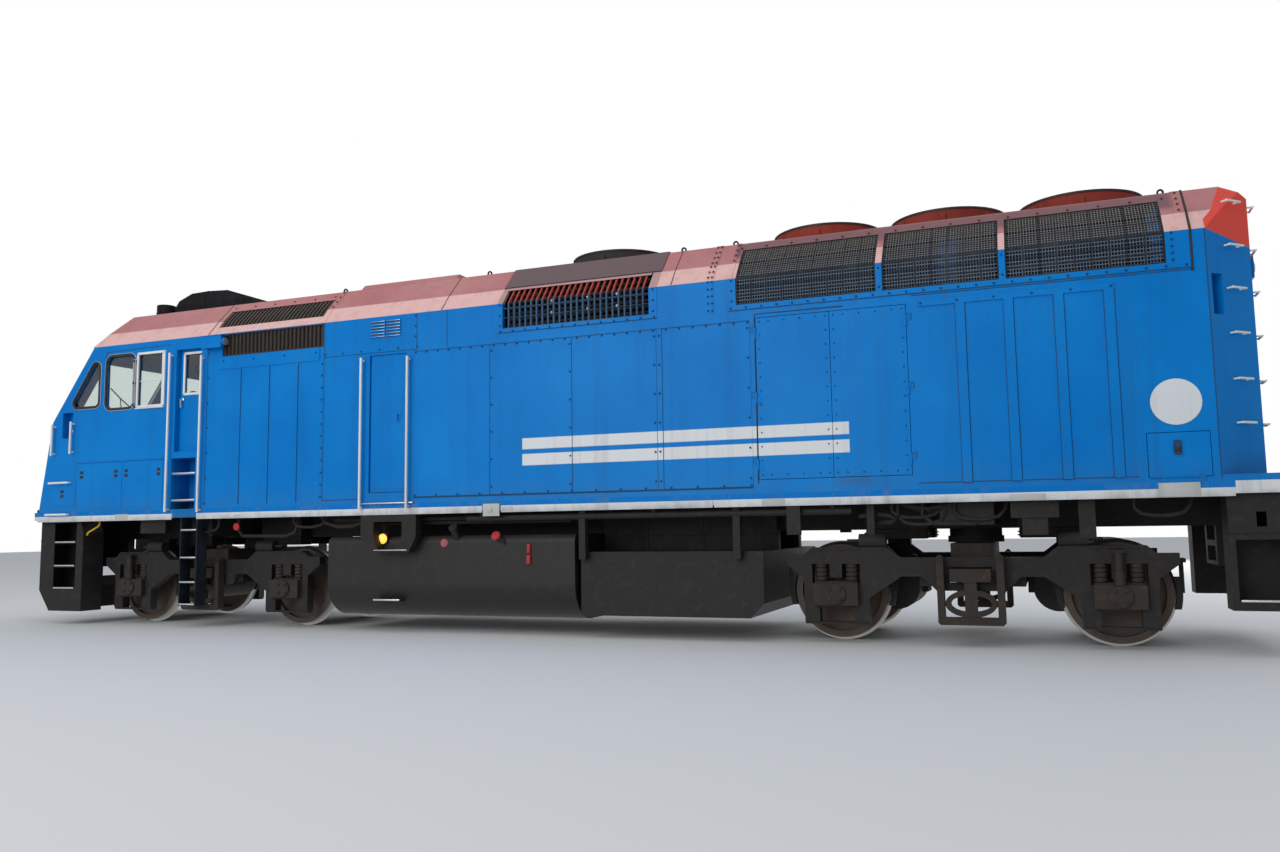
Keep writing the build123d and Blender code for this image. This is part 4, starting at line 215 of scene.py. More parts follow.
# The axle nearest to a point is found by folding X about the trucks, and the distance from it shows the tread.
parts = add_node(tree, "SeparateXYZ", Vector=where)
fold = calc("SUBTRACT", calc("ABSOLUTE", parts.outputs[0]), TRUCK_X)
fold = calc("SUBTRACT", calc("ABSOLUTE", fold), AXLE_X)
flat_place = add_node(tree, "CombineXYZ", i0=fold, i1=calc("SUBTRACT", parts.outputs[2], AXLE_Z))
reach = add_node(tree, "VectorMath", {"operation": "LENGTH"}, i0=flat_place)
tread = ranged(reach.outputs["Value"], 0.500, 0.506)
grime = noise(where, 14.0, 7.0, 0.7)
feed(shader, Base__Color=mixed(tread, mixed(grime, WHEEL_DARK, WHEEL_GRIME), WHEEL_BRIGHT), Metallic=tread,
     Roughness=ranged(tread, 0, 1, 0.65, 0.28), Normal=bumpy(grime, 0.25))
dress([f"wheelset_{number}" for number in (1, 2, 3, 4)], wheel_steel)


# Painted body
# Welded steel sheet in glossy blue alkyd enamel, faded a little in broad patches, with rain streaks that
# run down from seams and vents, and dust low down. Two plain white stripes run along each side.
BODY_BLUE, FADED_BLUE, BLUE_GRIME = "#0070BE", "#0C7DCA", "#24486B"
STRIPE_WHITE, END_ORANGE, UNDERSIDE_BLACK = "#D3D6D8", "#DD4F42", "#1A1B1D"
STRIPES = ((2.185, 2.315), (1.995, 2.130))
STRIPE_ENDS = (-3.92, -0.10)
ENAMEL_GLEAM = 0.08


def zone(where, under, colour, x=None, y=None, z=None, slant=None, amount=1.0, soft=0.003):
    """Paints a colour over another between limits in X, in distance from the centre line, in Z and on a slant."""
    parts = add_node(where.id_data, "SeparateXYZ", Vector=where)
    limits = [(parts.outputs[0], x), (calc("ABSOLUTE", parts.outputs[1]), y), (parts.outputs[2], z)]
    if slant:
        lean = add_node(where.id_data, "VectorMath", {"operation": "DOT_PRODUCT"}, i0=where, i1=slant[0])
        limits.append((lean.outputs["Value"], slant[1]))
    share = None
    for value, span in limits:
        for edge, way in () if span is None else ((span[0], -soft), (span[1], soft)):
            step = ranged(value, edge + way, edge - way)
            share = step if share is None else calc("MULTIPLY", share, step)
    return mixed(calc("MULTIPLY", share, amount), under, colour)


def coat(name, base, worn, dirt, rough, streak=0.35, zones=(), dust=None):
    """An enamel on steel: fading in patches over a metre wide, rain streaks a hand apart, fine orange peel."""
    material, tree, shader, where = new_finish(name)
    colour = mixed(ranged(noise(where, 0.7, 6.0, 0.6), 0.35, 0.7), base, worn)
    for patch in zones:
        colour = zone(where, colour, **patch)
    runs = noise(add_node(tree, "Mapping", Vector=where, Scale=(7.0, 7.0, 0.25)).outputs[0], 1.0, 8.0, 0.7)
    colour = mixed(ranged(runs, 0.5, 0.8, 0.0, streak), colour, dirt)
    spots = add_node(tree, "TexVoronoi", {"feature": "DISTANCE_TO_EDGE"}, Vector=where, Scale=2.3)
    chips = calc("MULTIPLY", ranged(noise(where, 55.0, 3.0), 0.745, 0.76, 0.0, 0.7), ranged(spots, 0.04, 0.0))
    colour = mixed(chips, colour, "#4B4038")
    if dust:
        low = ranged(add_node(tree, "SeparateXYZ", Vector=where).outputs[2], dust["top"], dust["foot"])
        cloud = ranged(noise(where, 4.0, 7.0, 0.65), 0.35, 0.7, 0.0, dust["amount"])
        colour = mixed(calc("MULTIPLY", low, cloud), colour, dust["colour"])
    peel = noise(where, 40.0, 4.0)
    sag = calc("MULTIPLY_ADD", noise(where, 1.6, 2.0), 6.0, peel)
    feed(shader, Specular__IOR__Level=ENAMEL_GLEAM, Base__Color=colour,
         Roughness=ranged(peel, 0.2, 0.8, rough - 0.08, rough + 0.12), Normal=bumpy(sag, 0.1))
    return material


blue_enamel = coat(
    "blue_alkyd_enamel", BODY_BLUE, FADED_BLUE, BLUE_GRIME, 0.34, 0.3,
    [dict(colour=STRIPE_WHITE, x=STRIPE_ENDS, y=(1.5, 1.6), z=span) for span in STRIPES] + [
        dict(colour="#4A4F55", x=(-4.15, -3.76), y=(1.5, 1.6), z=(1.66, 1.73), amount=0.6, soft=0.05),
        dict(colour=END_ORANGE, x=(-7.9, -7.276), slant=((-0.316, 0, 1), (6.2555, 9.0))),
    ],
    dict(top=1.9, foot=1.55, amount=0.35, colour="#49617A"))
dress(["carbody_walls", "cab_shell", "cab_side_left", "cab_side_right", "rear_door"], blue_enamel, "body_blue")
dress([n for n in nodes if n.startswith(("engine_door", "cooler_door", "locker_flap"))], blue_enamel)
dress(["cab_door_left", "cab_door_right"], blue_enamel)
well_enamel = coat("blue_step_well_enamel", BODY_BLUE, FADED_BLUE, BLUE_GRIME, 0.45, 0.6,
                   [dict(colour=UNDERSIDE_BLACK, z=(0.0, 1.593))],
                   dict(top=2.3, foot=1.6, amount=0.5, colour="#3B4A58"))
dress(["cab_steps"], well_enamel)

# Side sills
# The rolled side beams carry a pale grey stripe that is chipped and patched: blue above it, at the cab steps
# and at the gauge block, black inside the beam.
sill_enamel = coat(
    "pale_grey_sill_enamel", "#D6D8D8", "#C4C8CB", "#6F7880", 0.42, 0.55,
    [dict(colour=BODY_BLUE, x=(-7.38, 8.0), z=(1.535, 1.7)), dict(colour="#1768A6", x=(4.863, 5.290), z=(1.40, 1.6)),
     dict(colour="#2A6CA0", x=(0.19, 0.44), z=(1.40, 1.6)), dict(colour=UNDERSIDE_BLACK, y=(0.0, 1.518), z=(1.3, 1.7))],
    dict(top=1.53, foot=1.45, amount=0.6, colour="#5A5550"))
dress(["side_sills"], sill_enamel, "sill_grey")

# Faded roof
# The same steel in a red enamel that the sun has chalked to rose. The lower facet is the palest, the
# cover over the brake resistors has gone grey-brown with heat.
roof_enamel = coat(
    "chalked_red_roof_enamel", "#AE7274", "#BA8484", "#7D5A5A", 0.6, 0.4,
    [dict(colour="#E2BAB4", z=(3.94, 4.168), soft=0.006, amount=0.85),
     dict(colour="#5F5759", x=(-1.818, 0.233), z=(4.172, 4.7), amount=0.9),
     dict(colour="#9A7E7E", x=(-1.818, 0.233), z=(3.94, 4.172), amount=0.7),
     dict(colour="#72595D", x=(-7.06, -2.655), z=(4.25, 4.47), amount=0.8, soft=0.03),
     dict(colour=END_ORANGE, x=(-7.8, -7.2), z=(3.9, 4.6), slant=((1, 0, 0.4), (-9.0, -5.698)))])
dress(["carbody_roof", "cab_roof", "roof_hatches"], roof_enamel, "roof_rose")

# Handrails
# Bent steel bar in white enamel, greyed by hands along the middle and chipped at the feet.
rail_enamel = coat("white_handrail_enamel", "#E4E5E3", "#D2D3D0", "#8E8C84", 0.4, 0.45)
dress(["handrails"], rail_enamel, "rail_white")

# Bolt heads
# The body panels, the roof seams and the grille frames are held by hexagon and button heads painted with
# the body, coloured darker than it: painted shade round each head, with dirt. One head is modelled and
# copied along the rows.


def select(pieces):
    """Selects only these pieces, the first of them as the active one."""
    clear()
    for piece in pieces:
        piece.select_set(True)
    bpy.context.view_layer.objects.active = pieces[0]


def bake(piece):
    """Puts a piece's place, turn and size into its mesh."""
    select([piece])
    bpy.ops.object.transform_apply(location=True, rotation=True, scale=True)


def pick_faces(piece, wanted):
    """In edit mode, selects only the faces that a test on their centre and normal picks."""
    bpy.ops.mesh.select_mode(type="FACE")
    bpy.ops.mesh.select_all(action="DESELECT")
    shape = bmesh.from_edit_mesh(piece.data)
    for face in shape.faces:
        face.select_set(wanted(face.calc_center_median(), face.normal))
    bmesh.update_edit_mesh(piece.data)


def join(pieces):
    """Joins pieces into one."""
    select(pieces)
    bpy.ops.object.join()
    return pieces[0]


def repeat(model, places):
    """Copies a model to each place, each copy with its own mesh, and joins them into one piece."""
    bake(model)
    copies = []
    for place in places:
        copy = model.copy()
        copy.data = model.data.copy()
        copy.matrix_world = place
        bpy.context.scene.collection.objects.link(copy)
        copies.append(copy)
    bpy.data.objects.remove(model)
    piece = join(copies)
    bake(piece)
    return piece


def twin(piece):
    """The piece's mirror image on the locomotive's other side, as a piece of its own."""
    bake(piece)
    other = piece.copy()
    other.data = piece.data.copy()
    other.data.transform(Matrix.Scale(-1, 4, (0, 1, 0)))
    bpy.context.scene.collection.objects.link(other)
    return other


def both_sides(pieces):
    """A piece, or some pieces, and the mirror image as one."""
    piece = join(pieces) if isinstance(pieces, list) else pieces
    return join([piece, twin(piece)])


def settle(piece, name, finish, body="carbody", smooth=35):
    """Names a piece, turns its faces outward, smooths it, paints it and lets it ride on a body."""
    bake(piece)
    bpy.ops.object.mode_set(mode="EDIT")
    bpy.ops.mesh.select_all(action="SELECT")
    bpy.ops.mesh.normals_make_consistent(inside=False)
    bpy.ops.object.mode_set(mode="OBJECT")
    bpy.ops.object.shade_smooth_by_angle(angle=math.radians(smooth))
    piece.name = piece.data.name = name
    piece.data.materials.clear()
    piece.data.materials.append(finish)
    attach(piece, body)
    return piece


def at(x, y, z):
    """A move to a place."""
    return Matrix.Translation((x, y, z))


def spun(degrees, axis="X"):
    """A turn about an axis."""
    return Matrix.Rotation(math.radians(degrees), 4, axis)


def bolt_head(radius, height, sides=6):
    """A bolt head that stands on its face and points along +Y, with a bevelled rim."""
    clear()
    bpy.ops.mesh.primitive_cylinder_add(vertices=sides, radius=radius, depth=height,
                                        rotation=(math.radians(-90), 0, 0), location=(0, height / 2, 0))
    head = bpy.context.object
    bake(head)
    bpy.ops.object.mode_set(mode="EDIT")
    pick_faces(head, lambda centre, normal: normal.y > 0.9)
    bpy.ops.mesh.inset(thickness=radius * 0.35, depth=height * 0.35)
    bpy.ops.object.mode_set(mode="OBJECT")
    return head


def row(start, end, pitch):
    """Values at an even pitch from start to end."""
    count = max(1, round(abs(end - start) / pitch))
    return [start + (end - start) * index / count for index in range(count + 1)]


# Level rows by their height and ends in X, upright rows by their X and ends in height, then each row's pitch
# and the distance of the face that it stands on from the centre line
LEVEL_ROWS = [
    (3.452, 1.385, -2.865, 0.155, 1.529), (1.684, 1.385, -2.865, 0.310, 1.529), (3.53, 1.37, 2.77, 0.28, 1.524),
    (3.613, 0.19, -1.78, 0.164, 1.529), (3.622, -2.68, -7.11, 0.17, 1.529), (3.572, 4.45, 2.91, 0.513, 1.534),
    (3.485, -4.69, -6.455, 0.353, 1.539),
]
UPRIGHT_ROWS = [(x, 1.76, 3.39, 0.33, 1.529) for x in (0.312, -0.724, -1.775, -2.862)] + [
    (-1.834, 1.76, 3.39, 0.33, 1.533), (2.815, 1.70, 3.42, 0.155, 1.524), (1.395, 3.66, 3.92, 0.13, 1.524),
    (-1.768, 3.68, 3.93, 0.12, 1.529), (0.200, 3.68, 3.93, 0.12, 1.529), (-4.28, 3.70, 3.90, 0.2, 1.529),
    (-5.489, 3.70, 3.90, 0.2, 1.529), (-2.69, 3.70, 3.93, 0.115, 1.529), (-7.0, 3.68, 3.94, 0.065, 1.529),
    (-2.421, 3.62, 3.94, 0.08, 1.529), (-2.468, 3.62, 3.94, 0.08, 1.529), (4.72, 1.66, 3.70, 0.34, 1.524),
]
# Rows over the roof's facets: the row's place on the left side, and how far the facet tilts back
ROOF_ROWS = [
    ([(x, 1.148, 4.386) for x in row(-2.72, -6.98, 0.28)], 44),
    ([(x, 1.142, 4.386) for x in row(4.62, 2.92, 0.34)], 44),
    ([(x, 1.536 - t * 0.174, 3.965 + t * 0.215) for x in (-2.422, -2.467) for t in (0.15, 0.5, 0.85)], 39),
    ([(x, 1.358 - t * 0.285, 4.176 + t * 0.295) for x in (-2.422, -2.467, -2.676, 2.815, -7.1)
      for t in (0.1, 0.37, 0.63, 0.9)], 44),
]
# The heads are darker than the blue and red they are painted with: painted shade round each head, with dirt.
bolt_enamel_with_shade = coat("dirty_blue_bolt_enamel_with_painted_shade", "#0A4378", "#0D4F8A", "#132C45", 0.5, 0.5)
places = [at(x, y, z) for z, start, end, pitch, y in LEVEL_ROWS for x in row(start, end, pitch)]
places += [at(x, y, z) for x, start, end, pitch, y in UPRIGHT_ROWS for z in row(start, end, pitch)]
settle(both_sides(repeat(bolt_head(0.012, 0.008), places)), "body_panel_bolts", bolt_enamel_with_shade)
places = [at(*spot) @ spun(tilt) for spots, tilt in ROOF_ROWS for spot in spots]
roof_bolt_enamel_with_shade = coat("dirty_red_bolt_enamel_with_painted_shade", "#5C3F3F", "#6B4A48", "#2F2422", 0.6, 0.5)
settle(both_sides(repeat(bolt_head(0.013, 0.009), places)), "roof_seam_bolts", roof_bolt_enamel_with_shade)

# Panel seams
# The sheets meet in sealed butt seams that have gone dark with dirt: thin beads half sunk in the wall. The
# dark beads along the ribs' edges are painted shadow lines. A thicker rubber strip closes the joint of the
# removable rear roof, and rubber cords seal the double doors.


def tubes(paths, radius, resolution=1):
    """Round bars along runs of points, drawn as one curve and turned into a mesh."""
    line = bpy.data.curves.new("bar", "CURVE")
    line.dimensions = "3D"
    line.bevel_depth = radius
    line.bevel_resolution = resolution
    line.use_fill_caps = True
    for path in paths:
        spline = line.splines.new("POLY")
        spline.points.add(len(path) - 1)
        for point, place in zip(spline.points, path):
            point.co = (*place, 1)
    bar = bpy.data.objects.new("bar", line)
    bpy.context.scene.collection.objects.link(bar)
    select([bar])
    bpy.ops.object.convert(target="MESH")
    return bpy.context.object


# The wall and the two facets over it: where each fold lies from the centre line, and its height
WALL_Y, EAVE_Z, KNEE_Y, KNEE_Z, CROWN_Y, CROWN_Z = 1.524, 3.955, 1.350, 4.170, 1.065, 4.465


def over_roof(x, proud):
    """A path from the left wall's foot of the roof up to the centre line, a little proud of the facets."""
    return [(x, y + proud * out, z + proud * rise) for y, out, z, rise in (
        (WALL_Y, 1, 3.957, 0), (KNEE_Y, 0.8, KNEE_Z, 0.5), (CROWN_Y, 0.4, CROWN_Z, 0.8), (0.0, 0, 4.540, 1))]


# Each seam on the wall by its ends in X and Z
SEAMS = [((2.785, 3.497), (1.375, 3.497)), ((2.785, 1.655), (2.200, 1.655)), ((1.400, 1.655), (-2.890, 1.655)),
         ((4.735, 1.640), (4.735, 3.950)), ((2.785, 1.66), (2.785, 3.950)), ((1.375, 3.500), (1.375, 3.950)),
         ((0.940, 3.500), (0.940, 3.950)), ((-7.145, 3.575), (-4.600, 3.575)), ((-6.600, 1.655), (-4.600, 1.655)),
         ((6.620, 3.440), (6.620, 3.862)), ((6.620, 3.862), (5.420, 3.880)), ((-7.276, 1.62), (-7.276, 3.95))]
# The raised plates' joints, and the painted shadow line that stands along each rib
PLATE_SEAMS = [((x, 1.672), (x, 3.462)) for x in (0.337, -0.748, -1.801, -1.867)]
PLATE_SEAMS += [((x0, z), (x1, z)) for x0, x1, z in ((1.404, -2.882, 1.6665), (1.404, -2.882, 3.468),
                                                     (0.225, -1.812, 3.5965), (-2.656, -7.144, 3.5965))]
RIB_SHADOW_LINES = [((x - 0.0145, 1.645), (x - 0.0145, 3.462)) for x in (4.160, 3.680, 3.210)]
for x in (-5.072, -5.530, -5.991, -6.437):
    RIB_SHADOW_LINES += [((edge, 1.652), (edge, 3.452)) for edge in (x - 0.0465, x + 0.0465)]
    RIB_SHADOW_LINES.append(((x - 0.044, 1.6475), (x + 0.044, 1.6475)))
sealant_and_shadow, tree, shader, where = new_finish("dirty_seam_sealant_and_painted_shadow")
# A polyurethane bead that dust has stuck to: dull, and mottled over a few centimetres. The same dark
# finish paints the shadow lines along the ribs, round the hinge leaves and in the latch well.
mottle = noise(where, 22.0, 5.0)
feed(shader, Base__Color=mixed(mottle, "#0A2C49", "#1B4A73"), Roughness=0.75, Normal=bumpy(mottle, 0.4, 0.001))
seam_beads_and_rib_shadows = [[(x0, y, z0), (x1, y, z1)] for y, lines in ((1.5245, SEAMS + RIB_SHADOW_LINES), (1.5290, PLATE_SEAMS))
         for (x0, z0), (x1, z1) in lines]
settle(both_sides(tubes(seam_beads_and_rib_shadows, 0.0045)), "wall_seam_beads_and_rib_shadows", sealant_and_shadow)

rubber_and_shade, tree, shader, where = new_finish("weathered_epdm_rubber_and_painted_shade")
# Moulded EPDM: near black, chalked grey where it is worn, with a fine moulded grain. The same finish
# paints the shade in the flap slots and in the louvre gaps.
worn = noise(where, 30.0, 6.0, 0.6)
feed(shader, Base__Color=mixed(worn, "#101113", "#2B2C2E"), Roughness=0.62, Normal=bumpy(worn, 0.2, 0.001))
strip = tubes([[(-7.158, 1.526, 3.562)] + over_roof(-7.158, 0.003)], 0.012)
settle(both_sides(strip), "rear_roof_joint_rubber", rubber_and_shade)
# The double doors' seal is broken at the hinges.
SEAL_X, SEAL_Y, SEAL_TOP = -2.941, 1.5255, 3.535
seal_runs = [[(SEAL_X, SEAL_Y, z) for z in run]
             for run in ((1.700, 1.835), (1.965, 2.555), (2.685, 3.265), (3.395, SEAL_TOP))]
seal_runs[-1].append((-3.90, SEAL_Y, SEAL_TOP))
settle(both_sides(tubes(seal_runs, 0.006)), "cooler_door_seals", rubber_and_shade)
roof_beads = tubes([over_roof(x, 0.001) for x in (4.735, 1.02, -1.985)], 0.005)
settle(both_sides(roof_beads), "roof_seam_beads", rubber_and_shade)

# Cab windows
# Panes in rubber gaskets with a thin bright edge outside. The sliding window has a white aluminium frame
# with an inner bar, and a narrow wind wing stands on two clamps between the two side windows.


def rounded(corners, radius):
    """An outline whose corners are arcs of a radius, run through in the order of its corners."""
    steps, outline = 6, []
    for index, corner in enumerate(corners):
        here, back, ahead = Vector(corner), Vector(corners[index - 1]), Vector(corners[(index + 1) % len(corners)])
        back_way, ahead_way = (back - here).normalized(), (ahead - here).normalized()
        half = back_way.angle(ahead_way) / 2
        centre = here + (back_way + ahead_way).normalized() * radius / math.sin(half)
        start = here + back_way * radius / math.tan(half) - centre
        end = here + ahead_way * radius / math.tan(half) - centre
        outline += [tuple(centre + start.lerp(end, step / steps).normalized() * radius) for step in range(steps + 1)]
    return outline


def window_ring(corners, radius, width, depth):
    """A flat ring drawn in X and Y by its outer corners: rounded corners, an open middle and a bevelled edge."""
    corners = rounded(corners, radius)
    clear()
    bpy.ops.mesh.primitive_circle_add(vertices=len(corners), radius=1, fill_type="NGON")
    ring = bpy.context.object
    for vertex, (x, y) in zip(ring.data.vertices, corners):
        vertex.co = (x, y, 0)
    bpy.ops.object.mode_set(mode="EDIT")
    bpy.ops.mesh.select_all(action="SELECT")
    bpy.ops.mesh.inset(thickness=width)
    bpy.ops.mesh.delete(type="ONLY_FACE")
    bpy.ops.mesh.select_all(action="SELECT")
    bpy.ops.mesh.extrude_region_move(TRANSFORM_OT_translate={"value": (0, 0, depth)})
    bpy.ops.mesh.select_all(action="SELECT")
    bpy.ops.mesh.normals_make_consistent(inside=False)
    pick_faces(ring, lambda centre, normal: normal.z > 0.9)
    bpy.ops.mesh.inset(thickness=min(width, depth) * 0.3, depth=depth * 0.25)
    bpy.ops.object.mode_set(mode="OBJECT")
    return ring


def oblong(x0, x1, z0, z1, grow):
    """The corners of an upright opening, larger all round by grow, in order round it."""
    return [(x0 - grow, z0 - grow), (x1 + grow, z0 - grow), (x1 + grow, z1 + grow), (x0 - grow, z1 + grow)]


def on_side(y):
    """Stands a shape drawn in X and Y upright on a face that looks along +Y."""
    return Matrix(((1, 0, 0, 0), (0, 0, 1, y), (0, 1, 0, 0), (0, 0, 0, 1)))


def placed(piece, place):
    """Moves a piece's mesh to a place."""
    bake(piece)
    piece.data.transform(place)
    return piece


SIDE_WINDOW, SLIDING_WINDOW = (6.070, 6.600, 3.045, 3.790), (5.515, 6.000, 3.045, 3.790)
QUARTER_GROWN = [(7.345, 3.068), (6.852, 3.765), (6.712, 3.716), (6.712, 3.068)]
QUARTER_EDGE = [(7.360, 3.060), (6.857, 3.773), (6.704, 3.722), (6.704, 3.060)]
side_gaskets = [window_ring(QUARTER_GROWN, 0.094, 0.036, 0.012),
                window_ring(oblong(*SIDE_WINDOW, 0.026), 0.12, 0.034, 0.012)]
gaskets = join([placed(ring, on_side(1.5225)) for ring in side_gaskets])
WINDSCREEN_PLACE = Matrix(((0, -0.5913, 0.8065, 7.281), (1, 0, 0, 0), (0, 0.8065, 0.5913, 3.4285), (0, 0, 0, 1)))
screen_gasket = window_ring(oblong(0.090, 1.210, -0.450, 0.450, 0.028), 0.09, 0.034, 0.012)
gaskets = join([gaskets, placed(screen_gasket, WINDSCREEN_PLACE @ at(0, 0, -0.001))])
settle(both_sides(gaskets), "window_gaskets", rubber_and_shade)

bright_metal_and_highlight, tree, shader, where = new_finish("weathered_extruded_aluminium_and_painted_highlight")
# Extruded aluminium with its natural oxide: pale grey, softly glossy and a little cloudy. It also paints the
# bright lips of the louvre slats: worn edges with a painted highlight.
grain = noise(where, 60.0, 6.0, 0.6)
feed(shader, Metallic=1.0, Base__Color=mixed(grain, "#B9BCBE", "#DADCDD"), Roughness=ranged(grain, 0, 1, 0.28, 0.48))
edges = [window_ring(QUARTER_EDGE, 0.103, 0.009, 0.008),
         window_ring(oblong(*SIDE_WINDOW, 0.036), 0.13, 0.010, 0.008)]
trim = join([placed(ring, on_side(1.5225)) for ring in edges])
wing = tubes([[(6.062, 1.552, 3.03), (6.062, 1.552, 3.72)], [(6.030, 1.552, 3.06), (6.030, 1.552, 3.72)]], 0.009)
settle(both_sides([trim, wing]), "window_edge_trims", bright_metal_and_highlight)
clamps = repeat(bolt_head(0.022, 0.034, 8), [at(6.046, 1.522, z) for z in (3.075, 3.38, 3.69)])
settle(both_sides(clamps), "wind_wing_clamps", rubber_and_shade)

frame_enamel = coat("white_window_frame_enamel", "#E2E4E4", "#D0D3D4", "#85888A", 0.35, 0.3)


def bar(x, y, z, edge):
    """A bar or plate between its ends along each axis, with its edges rounded."""
    clear()
    bpy.ops.mesh.primitive_cube_add(size=1, location=[sum(span) / 2 for span in (x, y, z)],
                                    scale=[span[1] - span[0] for span in (x, y, z)])
    piece = bpy.context.object
    bake(piece)
    bpy.ops.object.mode_set(mode="EDIT")
    bpy.ops.mesh.select_all(action="SELECT")
    bpy.ops.mesh.bevel(offset=edge, segments=2, affect="EDGES")
    bpy.ops.object.mode_set(mode="OBJECT")
    return piece


slider = placed(window_ring(oblong(*SLIDING_WINDOW, 0.020), 0.012, 0.034, 0.016), on_side(1.522))
inner_bars = [bar((5.545, 5.563), (1.508, 1.526), (3.05, 3.785), 0.003),
              bar((5.530, 5.985), (1.500, 1.512), (3.40, 3.412), 0.003),
              bar((5.50, 6.02), (1.520, 1.556), (3.008, 3.022), 0.004)]
settle(both_sides([slider] + inner_bars), "sliding_window_frames", frame_enamel)

# Window glass
# Laminated safety glass, clear with a faint green-grey tint, with a film of dust that dulls it a little.
glass, tree, shader, where = new_finish("laminated_safety_glass")
feed(shader, Base__Color="#E3EBE8", IOR=1.5, Transmission__Weight=1.0,
     Roughness=ranged(noise(where, 5.0, 6.0, 0.6), 0.4, 0.8, 0.0, 0.06))
dress(["cab_glass", "cab_door_glass_left", "cab_door_glass_right"], glass)

# Windscreen wipers
# Two painted steel arms with rubber blades, each pivoted under its pane and parked low.


def left_and_right(piece, name, finish, body=None):
    """Settles a piece and its mirror image on the left and right bodies of a pair, or else on the car body."""
    for side, half in (("left", piece), ("right", twin(piece))):
        settle(half, f"{name}_{side}", finish, f"{body}_{side}" if body else "carbody")


arm = tubes([[(0.36, -0.49, 0.0), (0.36, -0.49, 0.035), (0.60, -0.12, 0.045)]], 0.007)
blade = tubes([[(0.33, -0.26, 0.030), (0.60, -0.12, 0.032), (0.86, 0.03, 0.030)]], 0.010)
hub = placed(bolt_head(0.028, 0.03, 12), at(0.36, -0.49, 0) @ spun(90))
left_and_right(placed(join([arm, blade, hub]), WINDSCREEN_PLACE), "windscreen_wiper", rubber_and_shade)

# Cab door fittings
# A white frame round the door's drop light, and a bright lever handle on its rose.
ring = placed(window_ring(oblong(4.900, 5.215, 3.190, 3.740, 0.026), 0.012, 0.034, 0.010), on_side(1.444))
left_and_right(ring, "cab_door_window_frame", frame_enamel, "cab_door")
HANDLE_X, HANDLE_Z = 5.245, 3.108
rose = placed(bolt_head(0.028, 0.012, 16), at(HANDLE_X, 1.444, HANDLE_Z))
lever = tubes([[(HANDLE_X, y, z) for y, z in (
    (1.45, HANDLE_Z), (1.485, HANDLE_Z), (1.488, 3.09), (1.478, 2.99))]], 0.010)
left_and_right(join([rose, lever]), "cab_door_handle", bright_metal_and_highlight, "cab_door")

# Equipment flap slots and latches
# Each flap under the cab windows has two lift slots near its top corners under a drip ledge, the nose flap one.
# The slots are dark bars on the face: painted shade of the openings.
FLAP_SLOTS = [(7.012, 2.12), (6.353, 2.12), (6.157, 2.12), (5.557, 2.12), (7.389, 1.858)]
slot_shade_model = join([bar((-0.030, 0.030), (0, 0.006), span, 0.003) for span in ((0.012, 0.052), (-0.052, -0.012))])
slot_shades = repeat(slot_shade_model, [at(x, 1.529, z) for x, z in FLAP_SLOTS])
settle(both_sides(slot_shades), "flap_lift_slot_shades", rubber_and_shade)
ledge = bar((5.47, 7.11), (1.523, 1.540), (2.288, 2.302), 0.004)
settle(both_sides(ledge), "flap_drip_ledge", blue_enamel)

# Wall louvres
# Shadow gaps under the pressed slats of the small vents, and their bright lips: worn edges with a painted
# highlight.
SLAT_PITCH = 0.038667
gaps, highlight_lips = [], []
for x0, x1 in ((1.615, 1.824), (1.844, 2.053)):
    for index in range(6):
        z = 3.693 + SLAT_PITCH * index
        gaps.append(bar((x0, x1), (1.523, 1.5375), (z - 0.005, z - 0.0005), 0.001))
        highlight_lips.append(bar((x0, x1), (1.5385, 1.5415), (z + 0.0005, z + 0.005), 0.001))
settle(both_sides(gaps), "wall_louvre_gaps", rubber_and_shade)
settle(both_sides(highlight_lips), "wall_louvre_highlight_lips", bright_metal_and_highlight)

# Door hinge fittings
# Painted shadow lines round the double doors' hinge leaves, with two screws each, and the rod along the
# locker flap's foot, which turns with the flap.
hinge_shadow_lines = []
for x, way in ((-2.948, 1), (-4.540, -1)):
    for z in (1.900, 2.620, 3.330):
        end = x + way * 0.054
        hinge_shadow_lines += [bar((end - 0.0025, end + 0.0025), (1.523, 1.5265), (z - 0.004, z + 0.066), 0.001),
                        bar(sorted((x, x + way * 0.056)), (1.523, 1.5265), (z + 0.062, z + 0.067), 0.001)]
        hinge_shadow_lines += [placed(bolt_head(0.006, 0.004), at(x + way * 0.032, 1.530, z + rise))
                        for rise in (0.016, 0.044)]
settle(both_sides(hinge_shadow_lines), "cooler_door_hinge_shadow_lines", sealant_and_shadow)
rods = tubes([[(x, 1.533, 1.643) for x in span] for span in ((-7.048, -6.832), (-6.728, -6.690))], 0.0075, 3)
left_and_right(rods, "locker_flap_rod", blue_enamel, "locker_flap")

# Engine room doors and locker flaps
# The double doors are screwed all round to their frames' stiffeners. The single door has a drop lever and
# a row of screws along its foot, and the low locker flap a recessed slam latch.
LEAVES = {"front": (-3.747, -2.951), "rear": (-4.537, -3.753)}
for leaf, (x0, x1) in LEAVES.items():
    foot, head = 1.79, 3.45
    spots = [at(x, 1.524, z) for x in (x0 + 0.04, x1 - 0.04) for z in row(foot, head, 0.15)]
    spots += [at(x, 1.524, z) for z in (foot, head) for x in row(x0 + 0.14, x1 - 0.14, 0.15)]
    screws = repeat(bolt_head(0.009, 0.005), spots)
    left_and_right(screws, f"cooler_door_screws_{leaf}", bolt_enamel_with_shade, f"cooler_door_{leaf}")

